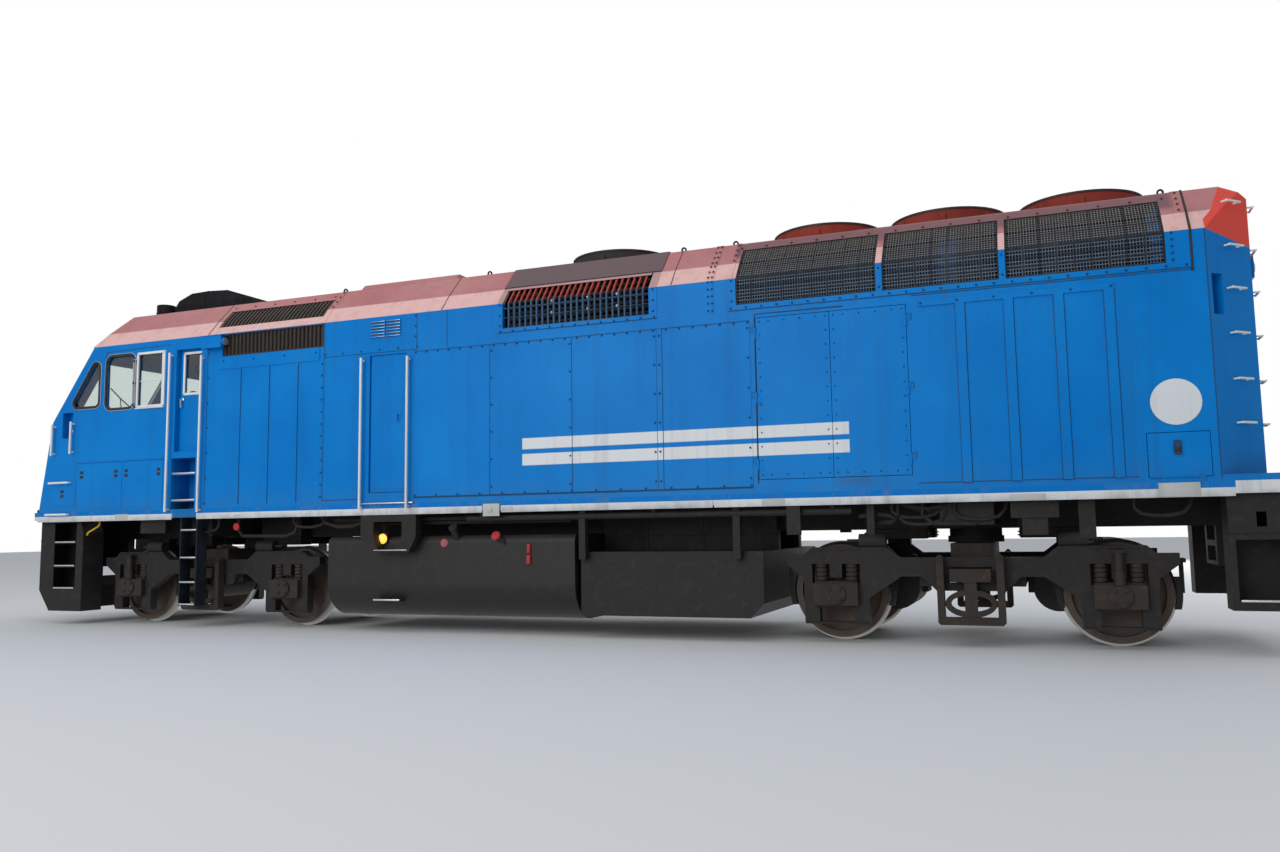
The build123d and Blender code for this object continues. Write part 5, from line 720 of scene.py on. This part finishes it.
screws = repeat(bolt_head(0.008, 0.005), [at(x, 1.512, 1.775) for x in row(1.56, 2.03, 0.047)])
plate = bar((1.618, 1.676), (1.511, 1.518), (2.60, 2.74), 0.004)
lever = tubes([[(1.647, 1.515, 2.70), (1.647, 1.540, 2.70), (1.647, 1.541, 2.62)]], 0.009)
left_and_right(join([screws, plate, lever]), "engine_door_lever", blue_enamel, "engine_door")

latch_frame = placed(window_ring(oblong(-6.982, -6.888, 1.833, 1.993, 0.0), 0.03, 0.010, 0.006), on_side(1.5235))
# The recess is a dark plate flush with the flap: painted shade.
latch_well_shade = bar((-6.972, -6.898), (1.5215, 1.5255), (1.843, 1.983), 0.0015)
latch_grip = join([bar((-6.962, -6.908), (1.525, 1.536), (1.885, 1.905), 0.004)] +
                  [bar(span, (1.525, 1.534), (1.865, 1.925), 0.003) for span in ((-6.960, -6.950), (-6.920, -6.910))])
for piece, name, finish in ((latch_frame, "frame", blue_enamel), (latch_well_shade, "well", sealant_and_shadow),
                            (latch_grip, "grip", rubber_and_shade)):
    left_and_right(piece, f"locker_latch_{name}", finish, "locker_flap")

# Rear door fittings
# A small window in a rubber gasket, a lever handle, a kick plate and two strap hinges on the end wall's door.
ON_REAR = Matrix(((0, 0, -1, -7.697), (-1, 0, 0, 0), (0, 1, 0, 0), (0, 0, 0, 1)))
door_gasket = window_ring(oblong(-0.17, 0.17, 2.95, 3.36, 0.0), 0.06, 0.030, 0.010)
settle(placed(door_gasket, ON_REAR), "rear_door_window_gasket", rubber_and_shade, "rear_door")
dark_glass, tree, shader, where = new_finish("dark_door_glass")
# Laminated glass against an unlit room: nearly black, glossy, with dried rain marks.
feed(shader, Base__Color=mixed(noise(where, 18.0, 6.0), "#0D1214", "#232B2F"), Roughness=0.08)
door_pane = bar((-0.145, 0.145), (2.975, 3.335), (-0.002, 0.003), 0.001)
settle(placed(door_pane, ON_REAR), "rear_door_pane", dark_glass, "rear_door")
pull = join([bar((0.235, 0.285), (2.48, 2.68), (-0.001, 0.006), 0.003),
             tubes([[(0.26, 2.60, 0.004), (0.26, 2.60, 0.045), (0.16, 2.60, 0.048)]], 0.009)])
settle(placed(pull, ON_REAR), "rear_door_lever", bright_metal_and_highlight, "rear_door")
kick = join([bar((-0.29, 0.28), (1.70, 1.95), (-0.001, 0.003), 0.0015)] +
            [bar((-0.300, -0.05), (z - 0.03, z + 0.03), (-0.001, 0.007), 0.003) for z in (2.05, 3.18)])
settle(placed(kick, ON_REAR), "rear_door_kick_plate_and_straps", blue_enamel, "rear_door")

# Air intakes
# Corrugated inertial filter panels in front of the engine's air room, painted black and furred with soot.
soot_panel = grimy("sooty_filter_panel_steel", "#28221F", "#6A605A", "#3F3028", 0.7, 0.6)
dress(["intake_louvres"], soot_panel, "grille_dark")
frame_strips = [bar((2.80, 4.48), (1.512, 1.526), (z - 0.008, z + 0.008), 0.003) for z in (3.648, 3.937)]
settle(both_sides(frame_strips), "intake_frame_strips", soot_panel)

# Brake resistor opening
# Upright guard bars, blue below and faded red where they bend in with the roof, two thin wires across them,
# and the resistor stacks with their porcelain insulators in the dark behind.
bar_enamel = coat("chipped_guard_bar_enamel", "#37536F", "#48627B", "#2A2E33", 0.5, 0.5,
                  [dict(colour="#A8483D", z=(3.962, 4.2), soft=0.02)])
dress(["brake_grid_bars"], bar_enamel)
stack_steel = grimy("heat_blued_resistor_steel", "#151D28", "#3A3F45", "#2A2320", 0.55, 0.5)
stacks = tubes([[(-1.70, y, z), (0.15, y, z)] for y, z in
                [(1.40, 3.70 + 0.07 * n) for n in range(5)] + [(1.31, 3.735 + 0.07 * n) for n in range(6)]], 0.020)
plates = [bar((x - 0.006, x + 0.006), (1.26, 1.43), (3.655, 4.06), 0.003) for x in (-1.62, -1.16, -0.70, -0.24, 0.08)]
settle(both_sides([stacks] + plates), "brake_resistor_stacks", stack_steel)
porcelain = coat("glazed_porcelain", "#DAD6CC", "#C6C0B2", "#6C665C", 0.25, 0.4)
knobs = [at(x, 1.405, z) for x in (-1.30, -0.93, -0.46) for z in (3.80, 3.94)]
settle(both_sides(repeat(bolt_head(0.020, 0.05, 12), knobs)), "brake_resistor_insulators", porcelain)
lip = placed(bar((-1.70, 0.215), (-0.022, 0.022), (-0.002, 0.002), 0.001), at(0, 1.3640, 4.1563) @ spun(-51))
settle(both_sides(lip), "brake_cover_lips", roof_enamel)
wires = tubes([[(-1.72, 1.520, z), (0.17, 1.520, z)] for z in (3.775, 3.892)], 0.004)
settle(both_sides(wires), "brake_guard_wires", bar_enamel)

# Radiator screens
# Woven screens of galvanised wire in flat steel frames: upright wires 28 mm apart, and paler level ones
# 37 mm apart. Behind them stand the shutter blades, with two bands of painted blue sheen, and all of it is
# dark with oily dust.
screen_frame = coat("dusty_screen_frame_enamel", "#26282B", "#34373B", "#5B5D5F", 0.6, 0.6)
dress(["radiator_grilles"], screen_frame)
dark_wire = coat("oily_galvanised_wire", "#5C6B7C", "#6B7886", "#77756F", 0.55, 0.6,
                 [dict(colour="#857D78", z=(4.17, 4.5)), dict(colour="#77777C", z=(3.955, 4.17))])
level_wire = coat("dusty_galvanised_wire", "#6E8296", "#7E8FA0", "#8A8C8E", 0.5, 0.5,
                  [dict(colour="#77706A", z=(4.0, 4.5), amount=0.8, soft=0.03)])
SCREENS = [(-4.247, -2.737), (-5.458, -4.313), (-6.944, -5.520)]
UPRIGHT_PITCH, LEVEL_PITCH, SCREEN_SINK, WIRE_RADIUS = 0.028, 0.037, 0.016, 0.0038


def screen_face(z):
    """How far the middle of the folded screen lies from the centre line at a height."""
    if z < EAVE_Z:
        return WALL_Y - SCREEN_SINK
    if z < KNEE_Z:
        return WALL_Y - SCREEN_SINK - (z - EAVE_Z) * (WALL_Y - KNEE_Y) / (KNEE_Z - EAVE_Z)
    return KNEE_Y - SCREEN_SINK - (z - KNEE_Z) * (KNEE_Y - CROWN_Y) / (CROWN_Z - KNEE_Z)


upright_runs, level_runs = [], []
level_zs = [z + pitch * n for z, pitch, count in ((3.671, LEVEL_PITCH, 8), (3.966, 0.0285, 7), (4.181, 0.0265, 7))
            for n in range(count)]
for x0, x1 in SCREENS:
    count = round((x1 - x0 - 0.032) / UPRIGHT_PITCH)
    for index in range(1, count):
        x = x0 + 0.016 + (x1 - x0 - 0.032) * index / count
        upright_runs.append([(x, screen_face(z), z) for z in (3.665, 3.953, 4.170, 4.348)])
    level_runs += [[(x, screen_face(z) - 0.003, z) for x in (x0 + 0.01, x1 - 0.01)] for z in level_zs]
settle(both_sides(tubes(upright_runs, WIRE_RADIUS, 0)), "radiator_screen_uprights", dark_wire)
settle(both_sides(tubes(level_runs, WIRE_RADIUS, 0)), "radiator_screen_level_wires", level_wire)

shutter_steel_with_sheen = coat("oily_shutter_enamel_with_painted_sheen", "#10151B", "#161C24", "#26292D", 0.6, 0.5,
                     # Two blue bands across the blades: painted sheen.
                     [dict(colour="#2B4A72", x=(-5.05, -4.86), soft=0.02),
                      dict(colour="#2F5D93", x=(-6.95, -6.83), soft=0.01)])
BLADE_SPOTS = [(1.40, 3.69 + 0.075 * n) for n in range(4)] + [(1.31 - 0.045 * n, 3.99 + 0.06 * n) for n in range(6)]
blades = []
for x0, x1 in SCREENS:
    blade = bar((x0 - 0.02, x1 + 0.02), (-0.045, 0.045), (-0.004, 0.004), 0.002)
    blades.append(repeat(blade, [at(0, y, z) @ spun(-50) for y, z in BLADE_SPOTS]))
    for x in [x0 + (x1 - x0) * share for share in (0.0, 0.33, 0.67, 1.0)]:
        blades.append(bar((x - 0.01, x + 0.01), (1.33, 1.36), (3.64, 4.0), 0.003))
settle(both_sides(blades), "radiator_shutters", shutter_steel_with_sheen)
core_steel = grimy("oily_radiator_core", "#141619", "#2E2B27", "#221B15", 0.6, 0.4)
dress(["radiator_cores"], core_steel)

# Roof fans
# Spun steel shrouds in rusty red enamel, the brake resistor fan's in heat-blackened grey, under guards of
# bent wire. The cast fan wheels turn inside them.
shroud_enamel = coat("rusty_red_shroud_enamel", "#8C3A30", "#78332B", "#45241F", 0.55, 0.5,
                     [dict(colour="#3A3638", x=(-1.45, -0.1))])
dress(["fan_shrouds"], shroud_enamel, "fan_red")
guard_wire = grimy("black_guard_wire_steel", "#1F2022", "#55524D", "#4A3328", 0.5, 0.4)
dress(["fan_guards"], guard_wire)
fan_casting = grimy("cast_fan_aluminium", "#5F5C58", "#4A453F", "#3C342C", 0.55, 0.5)
dress(["radiator_fan_1", "radiator_fan_2", "radiator_fan_3", "brake_fan"], fan_casting)
FAN_CENTRES = [-3.480, -4.880, -6.290, -0.775]


def hoop(place, radius, thickness, around=40, sides=8):
    """A level ring of round bar."""
    clear()
    bpy.ops.mesh.primitive_torus_add(location=place, major_segments=around, minor_segments=sides,
                                     major_radius=radius, minor_radius=thickness)
    return bpy.context.object


hoops = [hoop((x, 0, 4.7215), 0.12 + 0.04 * number, 0.003, 48, 4) for x in FAN_CENTRES for number in range(13)]
settle(join(hoops), "fan_guard_wires", guard_wire)
lug_model = bar((-0.03, 0.03), (0.632, 0.662), (4.56, 4.66), 0.006)
lugs = repeat(lug_model, [at(x, 0, 0) @ spun(45 * n, "Z")
                          for x in FAN_CENTRES for n in range(8)])
settle(lugs, "fan_shroud_lugs", shroud_enamel)

# Air conditioner hood and roof gear
# A folded sheet hood in black enamel with bolted seams and a flange along its foot, and a black drum with
# its band beside it. The lifting eyes are flame-cut plate.
hood_enamel = coat("soot_black_hood_enamel", "#141517", "#1C1D20", "#3A2C2A", 0.5, 0.5,
                   [dict(colour="#362424", z=(4.5, 4.60), amount=0.5, soft=0.03)])
dress(["air_conditioner_hood", "roof_fittings"], hood_enamel, "hood_black")
flange = bar((4.87, 6.31), (0.600, 0.640), (4.488, 4.512), 0.004)
flange_bolts = repeat(bolt_head(0.010, 0.010), [at(x, 0.640, 4.500) for x in row(4.92, 6.26, 0.168)])
ribs = tubes([[(x, 0.601, 4.52), (x, 0.601, z - 0.190), (x, 0.531, z), (x, 0.0, z + 0.001)]
              for x, z in ((5.40, 4.868), (5.76, 4.890))], 0.006)
settle(both_sides([flange, flange_bolts, ribs]), "hood_flange_and_seams", hood_enamel)
bands = [hoop((6.545, 0.560, z), radius, 0.007) for z, radius in ((4.54, 0.137), (4.60, 0.137), (4.718, 0.128))]
settle(join(bands), "roof_drum_bands", hood_enamel)

# Lamps
# Turned rims round domed glass lenses: twin headlights on the brow, one lamp on the nose, the ditch lights
# low down, two lamps on the rear wall and a small marker in each nose pocket.


def lens(radius, bulge):
    """A domed lens that looks along +Z."""
    clear()
    bpy.ops.mesh.primitive_cylinder_add(vertices=32, radius=radius, depth=0.008, location=(0, 0, 0.004))
    dome = bpy.context.object
    bake(dome)
    bpy.ops.object.mode_set(mode="EDIT")
    pick_faces(dome, lambda centre, normal: normal.z > 0.9)
    for share, rise in ((0.16, 0.42), (0.22, 0.32), (0.26, 0.19), (0.2, 0.07)):
        bpy.ops.mesh.inset(thickness=radius * share, depth=bulge * rise)
    bpy.ops.object.mode_set(mode="OBJECT")
    return dome


def facing(place, normal):
    """Stands a piece that looks along +Z on a point, looking along a direction."""
    return at(*place) @ Vector(normal).to_track_quat("Z", "Y").to_matrix().to_4x4()


def waves(where, way, scale, bend=0.0):
    """Even bands across one way."""
    return add_node(where.id_data, "TexWave", {"wave_type": "BANDS", "bands_direction": way}, Vector=where, Scale=scale,
                    Distortion=bend).outputs[0]


lens_glass, tree, shader, where = new_finish("moulded_lens_glass")
# Pressed glass over a bright reflector, fluted every 12 mm, so it looks silvery with fine ribs.
flutes = waves(where, "Y", 26.0, 0.3)
feed(shader, Base__Color=mixed(flutes, "#AEB7BC", "#E6EBEE"), Roughness=0.1, Coat__Weight=0.8,
     Normal=bumpy(flutes, 0.5))

lamp_enamel = coat("black_lamp_housing_enamel", "#1E1F21", "#2A2B2D", "#4C4A47", 0.45, 0.3)
dress(["headlights"], lamp_enamel)
BROW, NOSE = (0.8944, 0, 0.4472), (0.9870, 0, 0.1608)
# Each lens by its radius, its bulge, its place and the way it looks
lens_spots = [(0.076, 0.022, (6.8239, y, 4.1989), BROW) for y in (-0.12, 0.12)]
lens_spots += [(0.100, 0.018, (7.7175, 0, 2.7234), NOSE)]
lens_spots += [(0.072, 0.020, (7.9120, y, 1.7695), NOSE) for y in (-1.18, 1.18)]
lens_spots += [(0.075, 0.020, (-7.787, y, 3.715), (-1, 0, 0)) for y in (-0.67, 0.67)]
lens_spots += [(0.036, 0.014, (7.335, side * 1.404, 2.78), (0, side, 0)) for side in (-1, 1)]
lenses = [placed(lens(radius, bulge), facing(spot, normal)) for radius, bulge, spot, normal in lens_spots]
settle(join(lenses), "lamp_lenses", lens_glass, smooth=25)
rims = [placed(hoop((0, 0, 0.006), radius + 0.004, 0.006), facing(spot, normal))
        for radius, _, spot, normal in lens_spots]
settle(join(rims), "lamp_rims", bright_metal_and_highlight)

# Camera housings
# The blue boxes behind the cab doors: a round grey face and a hood plate.
camera_face = placed(lens(0.050, 0.004), facing((4.3825, 1.582, 3.8325), (-1, 0, 0)))
grey_plastic = coat("grey_housing_plastic", "#6E767D", "#7C848A", "#45494C", 0.4, 0.3)
settle(both_sides(camera_face), "camera_housing_faces", grey_plastic, smooth=25)
hoods = [bar((4.375, 4.745), (1.523, 1.650), (3.914, 3.921), 0.003),
         bar((4.735, 4.748), (1.523, 1.640), (3.752, 3.915), 0.003)]
settle(both_sides(hoods), "camera_housing_hoods", blue_enamel)

# Sill stripe
# A flat steel strip in pale grey enamel along each sill's lower edge, cut at the cab steps.
STRIP_SPANS = [(-7.375, -2.44), (-2.425, 0.185), (0.445, 4.858), (5.295, 7.86)]
strips = [bar(span, (1.5235, 1.5305), (1.455, 1.535), 0.002) for span in STRIP_SPANS]
settle(both_sides(strips), "sill_stripe_strips", sill_enamel)

# White disc and plates
# A plain white enamelled disc on the rear quarter, a blank steel plate on the sill, the gauge block under
# the engine room, and the riveted patch plates along the sill.
disc_enamel = coat("white_vitreous_disc", "#D6DADC", "#CBD0D3", "#8F9498", 0.25, 0.2)
disc = placed(lens(0.216, 0.0015), facing((-6.945, 1.5215, 2.340), (0, 1, 0)))
settle(both_sides(disc), "plain_white_discs", disc_enamel)
plate_steel = coat("brushed_steel_plate", "#A9ABAA", "#BDBFBE", "#77756F", 0.35, 0.4)
plates = [bar((-7.098, -6.753), (1.523, 1.537), (1.462, 1.590), 0.003)]
plates += [placed(bolt_head(0.006, 0.004), at(x, 1.537, z)) for x in (-7.085, -6.766) for z in (1.474, 1.578)]
plates += [bar(x, (1.529, 1.534), z, 0.002) for x, z in (
    ((6.100, 6.335), (1.462, 1.545)), ((0.030, 0.170), (1.468, 1.522)), ((-3.22, -2.97), (1.462, 1.535)),
    ((4.10, 4.20), (1.474, 1.500)), ((-5.78, -5.45), (1.461, 1.520)))]
rivets = repeat(bolt_head(0.006, 0.004), [at(x, 1.534, z) for x0, x1, z in (
    (6.115, 6.320, 1.502), (0.045, 0.155, 1.495), (-3.20, -2.99, 1.498), (-5.76, -5.47, 1.490)) for x in (x0, x1)])
settle(both_sides(plates + [rivets]), "sill_plates", plate_steel)
gauge = [bar((0.205, 0.428), (1.522, 1.536), (1.412, 1.560), 0.004),
         placed(lens(0.034, 0.01), facing((0.33, 1.536, 1.490), (0, 1, 0)))]
settle(both_sides(gauge), "sill_gauge_blocks", plate_steel)

# Step treads
# Serrated steel treads worn bright along their front edges by boots.
tread_steel, tree, shader, where = new_finish("worn_galvanised_tread_steel")
# Hot-dip galvanised: mid grey with faint spangle about 12 mm across, brighter where worn.
spangle = add_node(tree, "TexVoronoi", Vector=where, Scale=80.0).outputs[0]
feed(shader, Metallic=0.85, Base__Color=mixed(spangle, "#B4B7B8", "#DEE0E0"), Roughness=0.42)
edges = [bar((4.866, 5.136), (1.502, 1.520), (z + 0.012, z + 0.032), 0.004) for z in (0.297, 0.592, 0.920, 1.290)]
edges += [bar((4.915, 5.326), (1.496, 1.520), (z + 0.010, z + 0.034), 0.004) for z in (1.695, 2.060)]
edges += [bar((7.20, 7.60), (1.428, 1.444), (z + 0.014, z + 0.034), 0.004) for z in (0.490, 0.807, 1.144)]
edges += [bar((1.664, 2.050), (1.418, 1.436), (0.398, 0.418), 0.004),
          bar((1.500, 1.990), (1.500, 1.528), (1.016, 1.026), 0.003),
          bar((1.40, 2.16), (1.520, 1.560), (1.590, 1.606), 0.004),
          bar((-7.81, -7.37), (1.436, 1.452), (0.500, 0.520), 0.004)]
settle(both_sides(edges), "step_tread_edges", tread_steel)

# Tank fittings and pipes
# Red caps and cut-off boxes in enamel on the tank's sides, on stubs of black pipe, and the conduits and rubber
# hoses that hang from the frame beside them.
UNDER_SILL = 1.482
red_enamel = coat("signal_red_enamel", "#C23A40", "#AE3C40", "#5C2A2A", 0.4, 0.4)
caps = [placed(lens(0.058, 0.02), facing((0.325, 1.405, 1.180), (0, 0.9, 0.45))),
        bar((-0.122, -0.076), (1.358, 1.392), (0.846, 0.950), 0.006),
        bar((-0.118, -0.080), (1.358, 1.388), (0.975, 1.079), 0.006),
        placed(lens(0.050, 0.02), facing((4.27, 1.410, 1.344), (0, 1, 0)))]
settle(both_sides(caps), "red_caps_and_cutoffs", red_enamel)
pink_enamel = coat("faded_red_enamel", "#B5656C", "#A05A60", "#5C3A3A", 0.5, 0.4)
cap = placed(lens(0.052, 0.02), facing((1.071, 1.352, 1.100), (0, 1, 0.1)))
settle(both_sides(cap), "faded_red_tank_caps", pink_enamel)
stubs = tubes([[(0.18, 1.300, 1.05), (0.27, 1.370, 1.13), (0.325, 1.405, 1.180)]], 0.036)
hangers = tubes([[(4.27, 1.405, 1.344), (4.27, 1.36, 1.40), (4.27, 1.36, 1.481)]], 0.010)
conduits = tubes([
    [(4.36, 1.27, UNDER_SILL), (4.36, 1.27, 1.30), (4.28, 1.28, 1.22), (3.55, 1.28, 1.21), (3.42, 1.26, 1.26),
     (3.40, 1.20, UNDER_SILL)],
    [(-4.60, 1.33, UNDER_SILL), (-4.60, 1.33, 1.33), (-4.70, 1.34, 1.25), (-5.10, 1.34, 1.24), (-5.20, 1.30, 1.30),
     (-5.20, 1.28, UNDER_SILL)],
    [(2.75, 1.30, 1.40), (-0.60, 1.30, 1.40)], [(2.75, 1.24, 1.35), (-0.60, 1.24, 1.35)],
], 0.024)
# A hose loop by its run along the frame, its distance from the centre line and its share of the whole drop
LOOP = [(0, 1.36, 0), (0, 1.36, 0.6), (0.06, 1.36, 0.9), (0.16, 1.36, 1), (0.30, 1.36, 1), (0.42, 1.34, 0.85),
        (0.48, 1.32, 0.5), (0.50, 1.30, 0)]
loops = tubes([[(x + way * run, y, UNDER_SILL - drop * share) for run, y, share in LOOP] for x, way, drop in (
    (-4.30, -1, 0.17), (-4.36, -1, 0.24), (-4.92, -1, 0.20), (4.62, 1, 0.20), (3.36, -1, 0.16), (-6.55, -1, 0.19),
)], 0.018)
ribbed = tubes([
    [(-3.96, 1.34, 1.330), (-4.13, 1.34, 1.352), (-4.27, 1.33, 1.335), (-4.33, 1.32, 1.300), (-4.28, 1.31, 1.268),
     (-4.10, 1.30, 1.262)],
    [(-4.36, 1.30, 1.470), (-4.50, 1.32, 1.425), (-4.66, 1.33, 1.400), (-4.82, 1.32, 1.428), (-4.92, 1.30, 1.470)],
    [(-4.36, 1.26, 1.470), (-4.52, 1.28, 1.405), (-4.68, 1.29, 1.372), (-4.86, 1.28, 1.410), (-4.98, 1.26, 1.470)],
    [(2.98, 1.30, 1.470), (2.86, 1.34, 1.370), (2.66, 1.35, 1.318), (2.44, 1.34, 1.322), (2.30, 1.31, 1.372),
     (2.24, 1.28, 1.470)],
], 0.024, 2)
settle(both_sides([stubs, hangers, conduits, loops, ribbed]), "underfloor_pipes", chassis_paint)

# Cable trunks and air ducts
# A folded steel trunk beside the centre sill over the equipment box, with a rolled joint and straps, and short
# sleeved air ducts that end over each truck's motors. All of it is sooty black.
trunks = [bar((-2.90, -0.74), (0.46, 0.62), (0.978, UNDER_SILL), 0.008),
          bar((-2.90, -0.74), (0.445, 0.635), (1.150, 1.162), 0.004)]
trunks += [bar((x - 0.02, x + 0.02), (0.452, 0.628), (0.979, UNDER_SILL), 0.003) for x in (-2.7, -2.0, -1.3)]
ducts = []
for x in (-5.829, -4.229, 4.229, 5.829):
    ducts += [bar((x - 0.35, x + 0.35), (0.31, 0.60), (1.190, UNDER_SILL), 0.02),
              bar((x - 0.33, x + 0.33), (0.33, 0.58), (1.085, 1.200), 0.02)]
    ducts += [bar((x - 0.345, x + 0.345), (0.315, 0.595), (z, z + 0.014), 0.005) for z in (1.110, 1.145)]
settle(both_sides(trunks + ducts), "underfloor_trunks", chassis_paint)

# Yellow hand lever
# A bent bar in yellow enamel that hangs under the sill behind the front steps.
yellow_enamel = coat("yellow_lever_enamel", "#D8B52A", "#C7A52C", "#6A5A24", 0.45, 0.4)
lever = tubes([[(x, 1.40, z) for x, z in (
    (6.775, UNDER_SILL), (6.775, 1.41), (6.80, 1.385), (6.99, 1.300), (7.015, 1.262))]], 0.013)
settle(both_sides(lever), "yellow_hand_levers", yellow_enamel)

# Amber lamp
# A lit lamp with a ribbed amber lens in a steel hoop, hung from the sill inside the side step bracket.
amber, tree, shader, where = new_finish("lit_amber_polycarbonate")
# Moulded polycarbonate ribbed every 17 mm, lit from inside.
shade = mixed(waves(where, "X", 18.0), "#F08A24", "#FFC85A")
feed(shader, Base__Color=shade, Emission__Color=shade, Emission__Strength=1.6, Roughness=0.25)
amber_lens = placed(lens(0.062, 0.030), facing((1.950, 1.385, 1.160), (0, 1, 0)))
settle(both_sides(amber_lens), "amber_lamp_lenses", amber, smooth=25)
housing = join([bar((1.882, 2.018), (1.330, 1.385), (1.090, 1.230), 0.01),
                tubes([[(1.950, 1.355, 1.22), (1.950, 1.355, UNDER_SILL)]], 0.012)])
settle(both_sides(housing), "amber_lamp_housings", chassis_paint)

# Journal box bolts
# Four bolts hold each axle cap to its box.
JOURNAL_FACE, JOURNAL_Z, BOLT_OFFSET = 1.225, 0.521, 0.075 * math.cos(math.radians(45))
for truck, side in (("truck_front", 1), ("truck_rear", -1)):
    spots = [at(side * (TRUCK_X + way * AXLE_X) + BOLT_OFFSET * right, JOURNAL_FACE, JOURNAL_Z + BOLT_OFFSET * up)
             for way in (-1, 1) for right, up in ((1, 1), (-1, 1), (-1, -1), (1, -1))]
    settle(both_sides(repeat(bolt_head(0.016, 0.014), spots)), f"journal_cap_bolts_{truck[6:]}", spring_steel, truck)

# Cab inside
# Grey enamelled desks with dials and two levers, and seats in blue-grey cloth on steel pans.
cab_enamel = coat("grey_cab_enamel", "#7F8583", "#717775", "#4F5352", 0.5, 0.3)
dress(["cab_fittings"], cab_enamel, "cab_grey")
dial_spots = [(6.760, y, 2.940) for y in (0.55, 0.70, 0.85, 1.00, 1.15)]
dial_spots += [(6.710, y, 2.990) for y in (-1.15, -0.95, -0.75)]
dials = [placed(lens(0.045, 0.008), facing(spot, (-0.7071, 0, 0.7071))) for spot in dial_spots]
settle(join(dials), "desk_dials", dark_glass, smooth=25)
levers = tubes([[(6.84, y, 2.995), (6.80, y, 3.13)] for y in (0.62, 0.78)], 0.010)
settle(levers, "desk_levers", bright_metal_and_highlight)

seat_cloth, tree, shader, where = new_finish("woven_seat_moquette")
# Wool moquette: blue-grey pile with a diagonal weave, drawn at 7 mm so that it shows.
feed(shader, Base__Color=mixed(noise(where, 8.0, 5.0), "#23282F", "#39414C"), Roughness=0.9, Sheen__Weight=0.4,
     Normal=bumpy(waves(where, "DIAGONAL", 52.0, 1.5), 0.5))


def cushion(x, y, z, edge, cap):
    """A stuffed cushion: a rounded block swollen by cloth pressure, each point moved no further than cap."""
    pad = bar(x, y, z, edge)
    remesh = pad.modifiers.new("Remesh", "REMESH")
    remesh.mode = "VOXEL"
    remesh.voxel_size = 0.006
    bpy.ops.object.modifier_apply(modifier=remesh.name)
    start = [vertex.co.copy() for vertex in pad.data.vertices]
    cloth = pad.modifiers.new("Cloth", "CLOTH")
    cloth.settings.use_pressure = True
    cloth.settings.uniform_pressure_force = 4
    cloth.settings.effector_weights.gravity = 0
    for step in range(1, 21):
        bpy.context.scene.frame_set(step)
    bpy.ops.object.modifier_apply(modifier=cloth.name)
    bpy.context.scene.frame_set(1)
    for vertex, was in zip(pad.data.vertices, start):
        moved = vertex.co - was
        if moved.length > cap:
            vertex.co = was + moved * (cap / moved.length)
    smooth = pad.modifiers.new("Subdivision", "SUBSURF")
    smooth.levels = smooth.render_levels = 1
    bpy.ops.object.modifier_apply(modifier=smooth.name)
    return pad


seat_pad = cushion((5.608, 6.018), (0.582, 1.018), (2.772, 2.850), 0.022, 0.022)
back_pad = cushion((5.490, 5.568), (0.582, 1.018), (2.775, 3.312), 0.022, 0.018)


def welt(pad, x, y, z):
    """A sewn cord round a cushion, each point of its flat rectangle drawn to the cushion's face."""
    spans = [span if isinstance(span, tuple) else (span, span) for span in (x, y, z)]
    near, far = Vector([span[0] for span in spans]), Vector([span[1] for span in spans])
    free = [axis for axis in range(3) if near[axis] != far[axis]]
    ring = []
    for share_a, share_b, step_a, step_b in ((0, 0, 1, 0), (1, 0, 0, 1), (1, 1, -1, 0), (0, 1, 0, -1)):
        for step in range(12):
            point = near.copy()
            point[free[0]] += (far - near)[free[0]] * (share_a + step_a * step / 12)
            point[free[1]] += (far - near)[free[1]] * (share_b + step_b * step / 12)
            ring.append(tuple(pad.closest_point_on_mesh(point)[1]))
    return tubes([ring + ring[:1]], 0.004)


welts = [welt(seat_pad, (5.585, 6.040), (0.560, 1.040), 2.862),
         welt(back_pad, 5.585, (0.560, 1.040), (2.765, 3.335))]
settle(both_sides(welts), "seat_cushion_welts", seat_cloth, smooth=60)
pads = both_sides([seat_pad, back_pad])
settle(pads, "seat_cushion_covers", seat_cloth, smooth=60)
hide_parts("seat_cushions")
